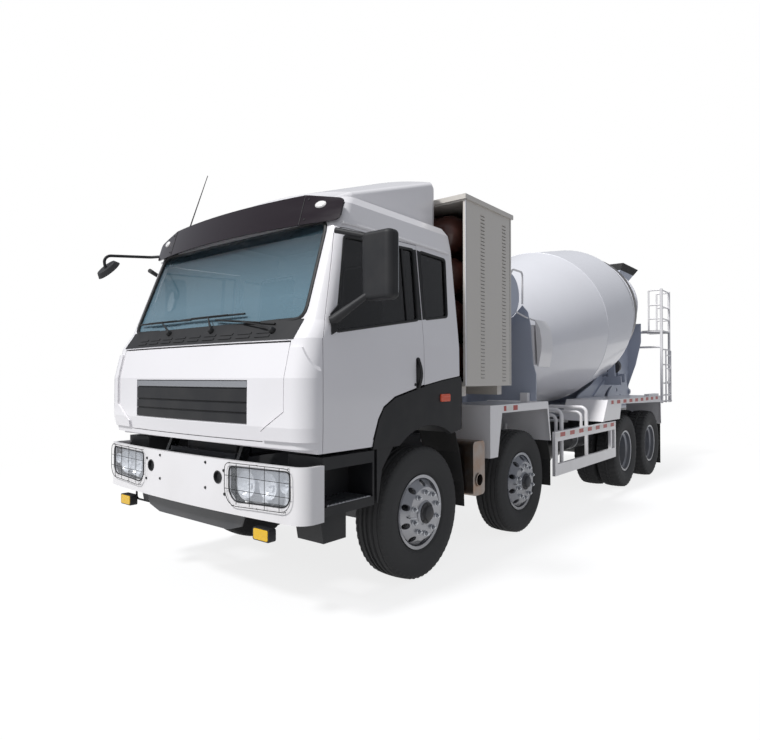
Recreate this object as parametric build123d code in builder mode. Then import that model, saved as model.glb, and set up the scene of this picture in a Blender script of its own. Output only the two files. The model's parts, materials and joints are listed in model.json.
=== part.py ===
"""Concrete mixer truck with four axles, in millimetres.

X points forward, Y to the truck's left and Z up. The origin is on the ground,
under the middle of the truck. Every `with BuildPart()` block is one named
piece, and keep() writes it to parts/.
"""

from build123d import *
import os
from math import cos, radians, sin

os.makedirs("parts", exist_ok=True)

# ---------------------------------------------------------------- driving sizes
FRONT_END = 5200
AXLE_1 = 3710
AXLE_2 = 1860
AXLE_3 = -1540
AXLE_4 = -2890
BOGIE = (AXLE_3 + AXLE_4) / 2

TYRE_R = 542
TYRE_W = 300
RIM_R = 286
STEER_WHEEL_Y = 1010
KINGPIN_Y = 850
TWIN_OUTER_Y = 1085
TWIN_INNER_Y = 755
DISC_OFFSET = 165

RAIL_OUT = 432
RAIL_FLANGE = 80
RAIL_T = 9
RAIL_TOP = 1060
RAIL_H = 290
RAIL_BOTTOM = RAIL_TOP - RAIL_H
RAIL_FRONT = 5090
RAIL_REAR = -4450
SUBFRAME_TOP = 1170

CAB_WALL = 50
CAB_REAR = 3280
CAB_FLOOR = 1150
CROWN_R = 11200
PANEL_GAP = 6
TILT_PIN = (5040, 950)
DOOR_HINGE = (4966, 1247)
DOOR_REAR = 3810

DRUM_TILT = 11.8
DRUM_APEX = (1621, 1877)
DRUM_R = 1165
DRUM_T = 12
RING_S = 4550
RING_R = 1012
ROLLER_R = 125
ROLLER_ANGLE = 30
ROLLER_GAP = 1.5

SPRING_Y = 405
SPRING_W = 90
REAR_SPRING_Y = 515
PINION_OUT = 240
FLANGE_OUT = 260

GEAR_CASE_R = 215
TANK_AXIS = (1965, 2530)
TANK_R = 255
TANK_HALF = 1065

CHUTE_POST = (-4720, 1700)
HOOD_T = 10
CHUTE_PIN = (-4720, 1830)
CHUTE_DROP = 20
CHUTE_INNER = 170
CHUTE_OUTER = 800
CHUTE_HALF = 200

TUNNEL_HALF = 400
TUNNEL_TOP = 1480
LID_HALF = 1066
LID_TOP = 1886
LID_TOP_GAP = 12
BLADE_OUT = 14
WHEEL_HUB = (4480, 570, 2150)
COLUMN_TILT = 32
ARCH_R = 660
ARCH_CENTRE = (3745, 600)

GUARD_T = 8
CABINET_X = (2271, 3167)
CABINET_HALF = 1230
CABINET_Z = (1565, 3253)
LADDER_X = (-5176, -4582)
LADDER_Y = 1000
LADDER_PIN = (1046, 1180)
STEP_X = (-5110, -4690)
PLATFORM_Z = (2535, 2560)

# ------------------------------------------------------------- drum geometry
TILT_COS = cos(radians(DRUM_TILT))
TILT_SIN = sin(radians(DRUM_TILT))
DRUM_PLANE = Plane(
    origin=(DRUM_APEX[0], 0, DRUM_APEX[1]),
    x_dir=(TILT_SIN, 0, TILT_COS),
    z_dir=(-TILT_COS, 0, TILT_SIN),
)
"""The drum's own plane: its X is up across the drum, its Z runs back along the axis."""


def drum_point(along, up, across=0):
    """A place given along the drum's axis, up across it and sideways."""
    return tuple(DRUM_PLANE.from_local_coords(Vector(up, across, along)))


# ------------------------------------------------------------------- helpers
def keep(builder, name):
    """Label a finished piece and write it."""
    builder.part.label = name
    export_step(builder.part, f"parts/{name}.step")


def block(x, y, z, mode=Mode.ADD):
    """A box between two places on each axis."""
    with Locations(((x[0] + x[1]) / 2, (y[0] + y[1]) / 2, (z[0] + z[1]) / 2)):
        Box(abs(x[1] - x[0]), abs(y[1] - y[0]), abs(z[1] - z[0]), mode=mode)


def side_slab(points, y, mode=Mode.ADD, round_at=(), radius=20):
    """A plate with its outline in X and Z, between two widths."""
    with BuildSketch(Plane.XZ.offset(-y[0])) as outline:
        with BuildLine():
            Polyline(*points, close=True)
        make_face()
        if round_at:
            corners = [v for v in outline.vertices() if near(v, points, round_at)]
            fillet(corners, radius)
    extrude(outline.sketch, amount=y[0] - y[1], mode=mode)


def near(vertex, points, chosen):
    """Whether a sketch corner is one of the chosen outline points."""
    return any(
        abs(vertex.X - points[i][0]) < 0.5 and abs(vertex.Y - points[i][1]) < 0.5
        for i in chosen
    )


def front_slab(points, x, mode=Mode.ADD):
    """A plate with its outline in Y and Z, between two places along X."""
    with BuildSketch(Plane.YZ.offset(x[0])) as outline:
        with BuildLine():
            Polyline(*points, close=True)
        make_face()
    extrude(outline.sketch, amount=x[1] - x[0], mode=mode)


def folded_sheet(points, y, thickness, mode=Mode.ADD):
    """A sheet bent along a line in X and Z, as wide as two widths."""
    with BuildSketch(Plane.XZ.offset(-y[0])) as outline:
        with BuildLine():
            Polyline(*points)
            offset(amount=thickness, side=Side.LEFT, kind=Kind.INTERSECTION)
        make_face()
    extrude(outline.sketch, amount=y[0] - y[1], mode=mode)


def rod(start, end, radius, mode=Mode.ADD):
    """A straight round bar from one place to another."""
    axis = Vector(*end) - Vector(*start)
    with BuildSketch(Plane(origin=start, z_dir=axis.normalized())) as ring:
        Circle(radius)
    extrude(ring.sketch, amount=axis.length, mode=mode)


def bent_tube(points, radius, bend):
    """A round tube along runs joined by arcs."""
    with BuildLine() as path:
        FilletPolyline(*points, radius=bend)
    with BuildSketch(Plane(origin=path.line @ 0, z_dir=path.line % 0)) as ring:
        Circle(radius)
    sweep(ring.sketch, path=path.line)


def ring_profile(plane, points, axis):
    """A turned piece: its half section swept once round an axis."""
    with BuildSketch(plane) as half:
        with BuildLine():
            Polyline(*points, close=True)
        make_face()
    revolve(half.sketch, axis=axis)


def tapered_rod(start, end):
    """A round bar whose radius runs from one value to another."""
    (first, first_radius), (last, last_radius) = start, end
    axis = (Vector(*last) - Vector(*first)).normalized()
    with BuildSketch(Plane(origin=first, z_dir=axis)) as thick:
        Circle(first_radius)
    with BuildSketch(Plane(origin=last, z_dir=axis)) as thin:
        Circle(last_radius)
    loft([thick.sketch, thin.sketch])


# -------------------------------------------------------------------- wheels
STEER_AXLES = (("1", AXLE_1), ("2", AXLE_2))
DRIVE_AXLES = (("3", AXLE_3), ("4", AXLE_4))
SIDES = (("left", 1), ("right", -1))


def wheel_plane(x, y):
    """The section plane of a wheel: its X runs along the axle, its Y is radius."""
    return Plane(origin=(x, y, TYRE_R), x_dir=(0, 1, 0), z_dir=(1, 0, 0))


def add_tyre(x, y):
    """One tyre round its wheel's centre, turned from its section."""
    half = TYRE_W / 2
    bead, heel, flank, shoulder = (107, RIM_R), (107, 304), (118, 312), (half - 14, 500)
    edge = (half - 40, TYRE_R - 6)
    with BuildSketch(wheel_plane(x, y)) as section:
        with BuildLine():
            Polyline(bead, heel, flank)
            ThreePointArc(flank, (half, 420), shoulder)
            ThreePointArc(shoulder, (half - 22, 520), edge)
            ThreePointArc(edge, (0, TYRE_R), (-edge[0], edge[1]))
            ThreePointArc((-edge[0], edge[1]), (22 - half, 520), (-shoulder[0], 500))
            ThreePointArc((-shoulder[0], 500), (-half, 420), (-flank[0], flank[1]))
            Polyline((-flank[0], flank[1]), (-heel[0], heel[1]), (-bead[0], RIM_R))
            Line((-bead[0], RIM_R), bead)
        make_face()
    revolve(section.sketch, axis=Axis((x, y, TYRE_R), (0, 1, 0)))


# Half sections of a rim and of its disc, as distance out from the wheel's middle
# and radius. The disc bulges out and carries the ring of nuts.
RIM_SECTION = (
    (-108, RIM_R), (108, RIM_R), (112, 302), (122, 302), (117, 277), (52, 277),
    (30, 246), (-52, 246), (-70, 277), (-117, 277), (-122, 302), (-112, 302),
)
DISC_SECTION = (
    (60, 277), (96, 277), (150, 226), (DISC_OFFSET, 206), (DISC_OFFSET, 140),
    (DISC_OFFSET - 14, 140), (DISC_OFFSET - 14, 200), (138, 214),
)


def turned(x, y, side, points):
    """A turned piece on a wheel's axis, its widths counted outwards."""
    profile = [(side * w, r) for w, r in points]
    ring_profile(wheel_plane(x, y), profile, Axis((x, y, TYRE_R), (0, 1, 0)))


def add_rim(x, y, side):
    """One steel rim and disc with ten hand holes, its disc bulging to one side."""
    turned(x, y, side, RIM_SECTION)
    turned(x, y, side, DISC_SECTION)
    face = Plane(origin=(x, y + side * 85, TYRE_R), x_dir=(1, 0, 0), z_dir=(0, side, 0))
    with BuildSketch(face) as holes:
        with PolarLocations(238, 10, start_angle=18):
            Circle(26)
    extrude(holes.sketch, amount=80, mode=Mode.SUBTRACT)


# Hub and brake drum of a steered wheel, as distance out from the wheel's middle.
STEER_HUB = (
    (-30, 42), (DISC_OFFSET + 12, 42), (DISC_OFFSET + 12, 88), (DISC_OFFSET, 100),
    (DISC_OFFSET, 140), (DISC_OFFSET - 14, 140), (DISC_OFFSET - 14, 168),
    (DISC_OFFSET - 30, 168), (DISC_OFFSET - 30, 108), (20, 96), (20, 205),
    (-128, 205), (-128, 190), (4, 190), (4, 80), (-30, 76),
)
# Hub and brake drum of a twin wheel, as distance out from the inner wheel's middle.
TWIN_HUB = (
    (-40, 62), (300, 62), (300, 90), (270, 120), (DISC_OFFSET + 14, 132),
    (DISC_OFFSET + 14, 140), (DISC_OFFSET, 140), (DISC_OFFSET, 168),
    (DISC_OFFSET - 22, 168), (DISC_OFFSET - 22, 118), (60, 112), (60, 205),
    (-100, 205), (-100, 190), (44, 190), (44, 100), (-40, 96),
)

for number, x in STEER_AXLES:
    for word, side in SIDES:
        y = side * STEER_WHEEL_Y
        with BuildPart() as tyre:
            add_tyre(x, y)
        keep(tyre, f"tyre_{number}_{word}")
        with BuildPart() as rim:
            add_rim(x, y, side)
            turned(x, y, side, STEER_HUB)
        keep(rim, f"wheel_{number}_{word}")

for number, x in DRIVE_AXLES:
    for word, side in SIDES:
        outer = side * TWIN_OUTER_Y
        inner = side * TWIN_INNER_Y
        with BuildPart() as tyre:
            add_tyre(x, outer)
            add_tyre(x, inner)
        keep(tyre, f"tyre_{number}_{word}")
        with BuildPart() as rim:
            add_rim(x, outer, -side)
            add_rim(x, inner, side)
            turned(x, inner, side, TWIN_HUB)
        keep(rim, f"wheel_{number}_{word}")

# ------------------------------------------------------------------ knuckles
for number, x in STEER_AXLES:
    for word, side in SIDES:
        pin_y = side * KINGPIN_Y
        spindle_end = side * (STEER_WHEEL_Y + DISC_OFFSET - 10)
        with BuildPart() as knuckle:
            rod((x, pin_y, TYRE_R - 110), (x, pin_y, TYRE_R + 110), 22)
            for low, high in ((TYRE_R - 100, TYRE_R - 58), (TYRE_R + 58, TYRE_R + 100)):
                rod((x, pin_y, low), (x, pin_y, high), 46)
                block((x - 40, x + 40), (pin_y, side * 930), (low, high))
            block((x - 60, x + 60), (side * 912, side * 940), (TYRE_R - 100, TYRE_R + 100))
            rod((x, side * 912, TYRE_R), (x, spindle_end, TYRE_R), 40)
            side_slab([(x - 20, 444), (x - 230, 455), (x - 230, 485), (x - 20, 482)],
                      (side * 835, side * 872))
        keep(knuckle, f"knuckle_{number}_{word}")


# -------------------------------------------------------------- running gear

with BuildPart() as running_gear:
    for number, x in STEER_AXLES:
        beam = [(-808, 498), (-640, 420), (-560, 400), (560, 400), (640, 420), (808, 498),
                (808, 586), (600, 510), (520, 480), (-520, 480), (-600, 510), (-808, 586)]
        front_slab(beam, (x - 45, x + 45))
        for side in (1, -1):
            pin_y = side * KINGPIN_Y
            rod((x, pin_y, TYRE_R - 50), (x, pin_y, TYRE_R + 50), 46)
            rod((x, pin_y, TYRE_R - 51), (x, pin_y, TYRE_R + 51), 23, Mode.SUBTRACT)
            spring = (side * (SPRING_Y - SPRING_W / 2), side * (SPRING_Y + SPRING_W / 2))
            side_slab([(x - 800, 690), (x - 400, 590), (x - 90, 540), (x + 90, 540),
                       (x + 400, 590), (x + 800, 690), (x + 800, 715), (x + 400, 640),
                       (x + 90, 605), (x - 90, 605), (x - 400, 640), (x - 800, 715)], spring)
            block((x - 80, x + 80), spring, (478, 545))
            for end in (-800, 800):
                block((x + end - 30, x + end + 30), spring, (680, RAIL_BOTTOM))
    for number, x in DRIVE_AXLES:
        with Locations((x, 0, TYRE_R)):
            Sphere(225)
        for side in (1, -1):
            rod((x, 0, TYRE_R), (x, side * 640, TYRE_R), 85)
            rod((x, side * 600, TYRE_R), (x, side * 1060, TYRE_R), 60)
            rod((x, side * 632, TYRE_R), (x, side * 644, TYRE_R), 200)
            pad = (side * (REAR_SPRING_Y - 60), side * (REAR_SPRING_Y + 60))
            block((x - 70, x + 70), pad, (600, 660))
        rod((x, 0, 590), (x + PINION_OUT, 0, 590), 75)
        if number == "3":
            rod((x, 0, 560), (x - PINION_OUT, 0, 560), 75)
    for side in (1, -1):
        pack = (side * (REAR_SPRING_Y - 50), side * (REAR_SPRING_Y + 50))
        side_slab([(AXLE_4 - 60, 655), (AXLE_4 + 260, 655), (BOGIE - 110, 560), (BOGIE + 110, 560),
                   (AXLE_3 - 260, 655), (AXLE_3 + 60, 655), (AXLE_3 + 60, 690), (AXLE_3 - 300, 715),
                   (BOGIE + 110, 720), (BOGIE - 110, 720), (AXLE_4 + 300, 715), (AXLE_4 - 60, 690)], pack)
        side_slab([(BOGIE - 120, 520), (BOGIE + 120, 520), (BOGIE + 190, 900), (BOGIE - 190, 900)],
                  (side * RAIL_OUT, side * (REAR_SPRING_Y - 50)))
        rod((BOGIE, side * RAIL_OUT, 560), (BOGIE, side * 580, 560), 55)
keep(running_gear, "running_gear")

# ------------------------------------------------------------- chassis frame
CROSS_X = (2500, 1300, 300, -900, BOGIE, -3400, -4400)

with BuildPart() as chassis_frame:
    web = RAIL_OUT - RAIL_T
    inner = RAIL_OUT - RAIL_FLANGE
    channel = [(inner, RAIL_TOP), (RAIL_OUT, RAIL_TOP), (RAIL_OUT, RAIL_BOTTOM), (inner, RAIL_BOTTOM),
               (inner, RAIL_BOTTOM + RAIL_T), (web, RAIL_BOTTOM + RAIL_T),
               (web, RAIL_TOP - RAIL_T), (inner, RAIL_TOP - RAIL_T)]
    front_slab(channel, (RAIL_REAR, RAIL_FRONT))
    mirror(about=Plane.XZ)
    for x in CROSS_X:
        low, high = RAIL_BOTTOM + 60, RAIL_TOP - 20
        side_slab([(x - 40, low), (x + 40, low), (x + 40, low + 10), (x - 28, low + 10),
                   (x - 28, high - 10), (x + 40, high - 10), (x + 40, high), (x - 40, high)],
                  (-web, web))
    block((4990, 5030), (-web, web), (880, 1090))
    rod((TILT_PIN[0], -505, TILT_PIN[1]), (TILT_PIN[0], 505, TILT_PIN[1]), 30)
    for side in (1, -1):
        block((5030, 5170), (side * 330, side * 390), (830, 930))
    for side in (1, -1):
        side_slab([(3330, RAIL_TOP), (3430, RAIL_TOP), (3400, 1600), (3340, 1600)],
                  (side * 380, side * RAIL_OUT))
    block((3335, 3405), (-RAIL_OUT, RAIL_OUT), (1540, 1620))
    block((-3680, -3610), (-1080, 1080), (470, 570))
    for side in (1, -1):
        side_slab([(-3680, 560), (-3610, 560), (-3560, RAIL_BOTTOM + 60), (-3680, RAIL_BOTTOM + 60)],
                  (side * RAIL_OUT, side * (RAIL_OUT + 30)))
    front_slab([(-640, 700), (640, 700), (600, 610), (450, 567), (-450, 567), (-600, 610)], (5100, 5112))
    for side in (1, -1):
        block((5030, 5105), (side * 350, side * 390), (640, 840))
keep(chassis_frame, "chassis_frame")

with BuildPart() as power_train:
    side_slab([(3560, 760), (3700, 640), (4500, 640), (4780, 760), (4780, 1330), (3620, 1330), (3560, 1200)],
              (-300, 300))
    block((4860, 4940), (-320, 320), (700, 1430))
    block((4780, 4862), (-60, 60), (900, 1000))
    side_slab([(2720, 700), (3560, 680), (3560, 1120), (3200, 1060), (2720, 960)], (-210, 210))
    for side in (1, -1):
        block((4100, 4200), (side * 290, side * 423), (900, 960))
    rod((2730, 0, 750), (AXLE_3 + FLANGE_OUT, 0, 590), 55)
    rod((AXLE_3 + PINION_OUT, 0, 590), (AXLE_3 + FLANGE_OUT + 10, 0, 590), 80)
    rod((AXLE_3 - FLANGE_OUT, 0, 560), (AXLE_4 + FLANGE_OUT, 0, 590), 45)
    rod((AXLE_3 - FLANGE_OUT - 10, 0, 560), (AXLE_3 - PINION_OUT, 0, 560), 80)
    rod((AXLE_4 + PINION_OUT, 0, 590), (AXLE_4 + FLANGE_OUT + 10, 0, 590), 80)
keep(power_train, "power_train")

# ------------------------------------------------------------------ subframe
with BuildPart() as subframe:
    inner = RAIL_OUT - RAIL_FLANGE
    front_slab([(inner, RAIL_TOP), (RAIL_OUT, RAIL_TOP), (RAIL_OUT, SUBFRAME_TOP), (inner, SUBFRAME_TOP)],
               (-4450, 2320))
    mirror(about=Plane.XZ)
    for x in (2250, 1700, 1150, 350, -450, -1250, -2050, -2850, -3650, -4400):
        block((x - 35, x + 35), (-inner, inner), (RAIL_TOP, RAIL_TOP + 45))
keep(subframe, "subframe")

# ---------------------------------------------------------------- drum mounts
BULKHEAD = [(1068, 2440), (1132, 2362), (1162, 2222), (1180, 1944), (1192, 1794), (1226, 1680), (1226, 1390),
            (640, 1390), (380, 1240), (-380, 1240), (-640, 1390), (-1226, 1390), (-1226, 1680), (-1192, 1794),
            (-1180, 1944), (-1162, 2222), (-1132, 2362), (-1068, 2440), (-960, 2320), (-700, 2240), (700, 2240),
            (960, 2320)]

with BuildPart() as water_tank:
    rod((TANK_AXIS[0], -TANK_HALF, TANK_AXIS[1]), (TANK_AXIS[0], TANK_HALF, TANK_AXIS[1]), TANK_R)
    fillet(water_tank.edges().filter_by(GeomType.CIRCLE), 50)

with BuildPart() as front_pedestal:
    add(water_tank.part)
    front_slab(BULKHEAD, (1668, 1680))
    for side in (1, -1):
        side_slab([(1850, 1580), (2080, 1580), (2060, 2340), (1870, 2340)], (side * 340, side * 364))
        side_slab([(1672, 1700), (1850, 1900), (1850, 2000), (1672, 2200)], (side * 340, side * 352))
    with BuildSketch(DRUM_PLANE.offset(-200)) as nose_room:
        Circle(310)
    extrude(nose_room.sketch, amount=230, mode=Mode.SUBTRACT)
    for side in (1, -1):
        side_slab([(1640, SUBFRAME_TOP), (2210, SUBFRAME_TOP), (2120, 1590), (1700, 1590)],
                  (side * 352, side * 372))
        side_slab([(1780, 1240), (2090, 1240), (2040, 1500), (1800, 1500)],
                  (side * 340, side * 380), Mode.SUBTRACT)
    side_slab([(2195, SUBFRAME_TOP), (2215, SUBFRAME_TOP), (2125, 1590), (2105, 1590)], (-352, 352))
    side_slab([(1635, SUBFRAME_TOP), (1655, SUBFRAME_TOP), (1715, 1590), (1695, 1590)], (-352, 352))
    block((1695, 2125), (-372, 372), (1570, 1592))
    for side in (1, -1):
        side_slab([(1730, 1590), (2080, 1590), (1990, 1760), (1780, 1760)], (side * 110, side * 190))
    block((1640, 2215), (-372, 372), (SUBFRAME_TOP, SUBFRAME_TOP + 12))
    with BuildSketch(DRUM_PLANE.offset(-600)) as gear_room:
        Circle(GEAR_CASE_R)
    extrude(gear_room.sketch, amount=700, mode=Mode.SUBTRACT)
keep(front_pedestal, "front_pedestal")

with BuildPart() as drum_drive:
    with BuildSketch(DRUM_PLANE.offset(-480)) as body:
        Circle(150)
    extrude(body.sketch, amount=140)
    with BuildSketch(DRUM_PLANE.offset(-340)) as body:
        Circle(GEAR_CASE_R)
    extrude(body.sketch, amount=240)
    with BuildSketch(DRUM_PLANE.offset(-100)) as body:
        Circle(180)
    extrude(body.sketch, amount=94)
keep(drum_drive, "drum_drive")

# The drum's outline, as distance back along its axis and radius.
DRUM_LINE = ((250, 790), (2590, DRUM_R), (3890, 1150), (5640, 727), (5790, 693))

with BuildPart() as drum:
    inner = [(s, r - DRUM_T) for s, r in DRUM_LINE]
    with BuildSketch(Plane(origin=DRUM_PLANE.origin, x_dir=DRUM_PLANE.z_dir, z_dir=(0, -1, 0))) as half:
        with BuildLine():
            Line((0, 0), (0, 260))
            Line((0, 260), (40, 260))
            ThreePointArc((40, 260), (110, 545), (250, 790))
            Polyline(*DRUM_LINE)
            Line(DRUM_LINE[-1], inner[-1])
            Polyline(*inner[::-1])
            ThreePointArc(inner[0], (124, 533), (54, 248))
            Line((54, 248), (54, 0))
            Line((54, 0), (0, 0))
        make_face()
        with BuildLine():
            Polyline((RING_S - 60, 960), (RING_S + 60, 960), (RING_S + 60, RING_R),
                     (RING_S - 60, RING_R), close=True)
        make_face()
        with BuildLine():
            Polyline((5760, 680), (5800, 680), (5800, 712), (5760, 712), close=True)
        make_face()
    revolve(half.sketch, axis=Axis(DRUM_PLANE.origin, DRUM_PLANE.z_dir))
keep(drum, "drum")

for word, side in SIDES:
    reach = RING_R + ROLLER_R + ROLLER_GAP
    up = -reach * cos(radians(ROLLER_ANGLE))
    across = side * reach * sin(radians(ROLLER_ANGLE))
    start = drum_point(RING_S - 45, up, across)
    end = drum_point(RING_S + 45, up, across)
    with BuildPart() as roller:
        rod(start, end, ROLLER_R)
        rod(drum_point(RING_S - 46, up, across), drum_point(RING_S + 46, up, across), 36, Mode.SUBTRACT)
    keep(roller, f"roller_{word}")

# The pedestal's side plates follow the drum's underside, then stand up behind its mouth.
UNDERSIDE = ((3200, -1205), (3880, -1160), (4620, -1000), (5600, -690), (5840, -640))


def boss_at(y):
    """The place of the boss at the pedestal's foot, for one width."""
    return (-4492, y, 1366)


with BuildPart() as rear_pedestal:
    under = [drum_point(along, up)[::2] for along, up in UNDERSIDE]
    for side in (1, -1):
        side_slab([(-1560, SUBFRAME_TOP), *under, (-4300, 2740), (-4720, 2740), (-4700, 2500),
                   (-4500, 2150), (-4490, 1785), (-4380, 1560), (-4400, 1465), (-4500, 1440),
                   (-4560, 1366), (-4530, 1290), (-4470, SUBFRAME_TOP)], (side * 388, side * 412))
        rod(boss_at(side * 380), boss_at(side * 434), 50)
        rod(boss_at(side * 370), boss_at(side * 440), 24, Mode.SUBTRACT)
        for x, z in ((-3740, 1412), (-3930, 1300)):
            rod((x, side * 370, z), (x, side * 430, z), 34, Mode.SUBTRACT)
        with BuildSketch(Plane.XZ.offset(-side * 370)) as notch:
            with BuildLine():
                ThreePointArc((-3020, 1300), (-3210, 1430), (-3470, 1490))
                ThreePointArc((-3470, 1490), (-3260, 1360), (-3180, 1250))
                Line((-3180, 1250), (-3020, 1300))
            make_face()
        extrude(notch.sketch, amount=-side * 70, mode=Mode.SUBTRACT)
        side_slab([(-2391, 1320), (-2830, 1300), (-3240, 1640), (-3430, 1790), (-3330, 1790), (-3140, 1690)],
                  (side * 410, side * 440))
        front_slab([(side * 400, 1400), (side * 418, 1500), (side * 556, 1900), (side * 655, 2340),
                    (side * 655, 2700), (side * 400, 2700)], (-4470, -4450))
        reach = RING_R + ROLLER_R + ROLLER_GAP
        up = -reach * cos(radians(ROLLER_ANGLE))
        across = side * reach * sin(radians(ROLLER_ANGLE))
        for along, depth in ((RING_S - 130, 40), (RING_S + 90, 40)):
            with BuildSketch(DRUM_PLANE.offset(along)) as shelf:
                with Locations((-1220, side * 560)):
                    Rectangle(150, 330)
            extrude(shelf.sketch, amount=depth)
        for along in (RING_S - 130, RING_S + 60):
            with BuildSketch(DRUM_PLANE.offset(along)) as bearing:
                with Locations((up - 60, across)):
                    Rectangle(240, 110)
            extrude(bearing.sketch, amount=70)
        rod(drum_point(RING_S - 62, up, across), drum_point(RING_S + 62, up, across), 35)
    with BuildSketch(DRUM_PLANE.offset(RING_S - 130)) as tie:
        with Locations((-1260, 0)):
            Rectangle(80, 780)
    extrude(tie.sketch, amount=260)
    block((-4480, -4440), (-400, 400), (SUBFRAME_TOP, 1680))
    block((-3000, -2985), (-390, 390), (SUBFRAME_TOP, 1690))
    side_slab([(-4680, 2660), (-4720, 2740), (-4400, 2740), (-4400, 2700)], (-400, 400))
    side_slab([(-4460, 1360), (-4460, 1660), (CHUTE_POST[0], 1660), (CHUTE_POST[0], 1600)], (-45, 45))
    rod((CHUTE_POST[0], 0, 1560), (CHUTE_POST[0], 0, CHUTE_POST[1] - 2), 70)
    rod((CHUTE_POST[0], 0, CHUTE_POST[1] - 10), (CHUTE_POST[0], 0, CHUTE_POST[1] + 20), 30)
    # The upper frame is bolted on at this height, so it is a body of its own.
    split(bisect_by=Plane.XY.offset(2150), keep=Keep.BOTH)
keep(rear_pedestal, "rear_pedestal")

# The hood narrows from the drum's mouth down to the chute: height, middle, length, width.
HOOD = ((2620, -4430, 560, 760), (2130, -4720, 250, 290))

with BuildPart() as discharge_hood:
    for inset, mode in ((0, Mode.ADD), (HOOD_T, Mode.SUBTRACT)):
        faces = []
        for (height, x, length, width), lap in zip(HOOD, (1, -1)):
            with BuildSketch(Plane.XY.offset(height + (lap if inset else 0))) as ring:
                with Locations((x, 0)):
                    Rectangle(length - 2 * inset, width - 2 * inset)
            faces.append(ring.sketch)
        loft(faces, mode=mode)
    with BuildSketch(DRUM_PLANE.offset(5600)) as mouth_room:
        Circle(740)
    extrude(mouth_room.sketch, amount=225, mode=Mode.SUBTRACT)
keep(discharge_hood, "discharge_hood")

with BuildPart() as feed_hopper:
    block((-4620, -4550), (-404, 404), (3440, 3490))
    for grow, mode in ((0, Mode.ADD), (-12, Mode.SUBTRACT)):
        lap = 1 if grow else 0
        with BuildSketch(Plane.XY.offset(3880 + lap)) as top:
            with Locations((-4640, 0)):
                Rectangle(1000 + 2 * grow, 840 + 2 * grow)
        with BuildSketch(Plane.XY.offset(3220 - lap)) as low:
            with Locations((-4090, 0)):
                Rectangle(260 + 2 * grow, 460 + 2 * grow)
        loft([top.sketch, low.sketch], mode=mode)
    for side in (1, -1):
        side_slab([(-4660, 2740), (-4600, 2740), (-4560, 3490), (-4620, 3490)], (side * 372, side * 404))
keep(feed_hopper, "feed_hopper")

# ------------------------------------------------------------ discharge chute

with BuildPart() as chute_swivel:
    rod((CHUTE_PIN[0], 0, CHUTE_POST[1]), (CHUTE_PIN[0], 0, CHUTE_POST[1] + 24), 110)
    rod((CHUTE_PIN[0], 0, CHUTE_POST[1] - 1), (CHUTE_PIN[0], 0, CHUTE_POST[1] + 21), 30.5, Mode.SUBTRACT)
    front_slab([(-60, 1722), (60, 1722), (19, 1835), (-19, 1835)], (CHUTE_PIN[0] - 92, CHUTE_PIN[0] + 92))
    rod((CHUTE_PIN[0] - 92, 0, CHUTE_PIN[1]), (CHUTE_PIN[0] + 92, 0, CHUTE_PIN[1]), 22)
    rod((CHUTE_PIN[0] - 122, 0, CHUTE_PIN[1]), (CHUTE_PIN[0] + 122, 0, CHUTE_PIN[1]), 12)
keep(chute_swivel, "chute_swivel")

chute_plane = Plane(origin=(CHUTE_PIN[0], 0, CHUTE_PIN[1]), x_dir=(1, 0, 0),
                    z_dir=(0, -cos(radians(CHUTE_DROP)), -sin(radians(CHUTE_DROP))))
lug_plane = Plane(origin=(CHUTE_PIN[0] - 112, 0, CHUTE_PIN[1]), x_dir=(0, 1, 0), z_dir=(1, 0, 0))
with BuildPart() as discharge_chute:
    for lug in (lug_plane, lug_plane.offset(212)):
        with BuildSketch(lug) as plate:
            Circle(24)
            with Locations((2, 44)):
                Rectangle(44, 80)
            Circle(12.5, mode=Mode.SUBTRACT)
        extrude(plate.sketch, amount=12)
    with BuildSketch(chute_plane.offset(-CHUTE_INNER)) as trough_room:
        with BuildLine():
            ThreePointArc((-CHUTE_HALF + 6, 224), (0, 36), (CHUTE_HALF - 6, 224))
            Line((CHUTE_HALF - 6, 224), (6 - CHUTE_HALF, 224))
        make_face()
    extrude(trough_room.sketch, amount=CHUTE_INNER + CHUTE_OUTER, mode=Mode.SUBTRACT)
    with BuildSketch(chute_plane.offset(-CHUTE_INNER)) as trough:
        with BuildLine():
            ThreePointArc((-CHUTE_HALF, 220), (0, 30), (CHUTE_HALF, 220))
            Line((CHUTE_HALF, 220), (CHUTE_HALF - 12, 220))
            ThreePointArc((CHUTE_HALF - 12, 220), (0, 42), (12 - CHUTE_HALF, 220))
            Line((12 - CHUTE_HALF, 220), (-CHUTE_HALF, 220))
        make_face()
    extrude(trough.sketch, amount=CHUTE_INNER + CHUTE_OUTER)
keep(discharge_chute, "discharge_chute")

# --------------------------------------------------------------- cab geometry
# Horizontal sections of the cab: height, front at the middle, half width,
# corner radius, rear.
CAB_SECTIONS = (
    (CAB_FLOOR, 5150, 1236, 120, CAB_REAR),
    (1320, 5186, 1240, 130, CAB_REAR),
    (1640, 5184, 1240, 130, CAB_REAR),
    (1900, 5123, 1236, 130, CAB_REAR),
    (2023, 5035, 1225, 120, CAB_REAR),
    (2763, 4755, 1150, 95, CAB_REAR),
    (2890, 4690, 1125, 90, 3285),
    (2960, 4600, 1075, 90, 3310),
    (3000, 4450, 990, 90, 3380),
)
ARCH_EDGE = [(4466, 1117), (4444, 1200), (4391, 1339), (4333, 1427), (4199, 1497), (3961, 1549),
             (3842, 1579), (3552, 1625), (3325, 1652), (3200, 1672)]
ARCH_LINE = [(4466, 1100), *ARCH_EDGE, (3200, 1100)]


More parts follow.
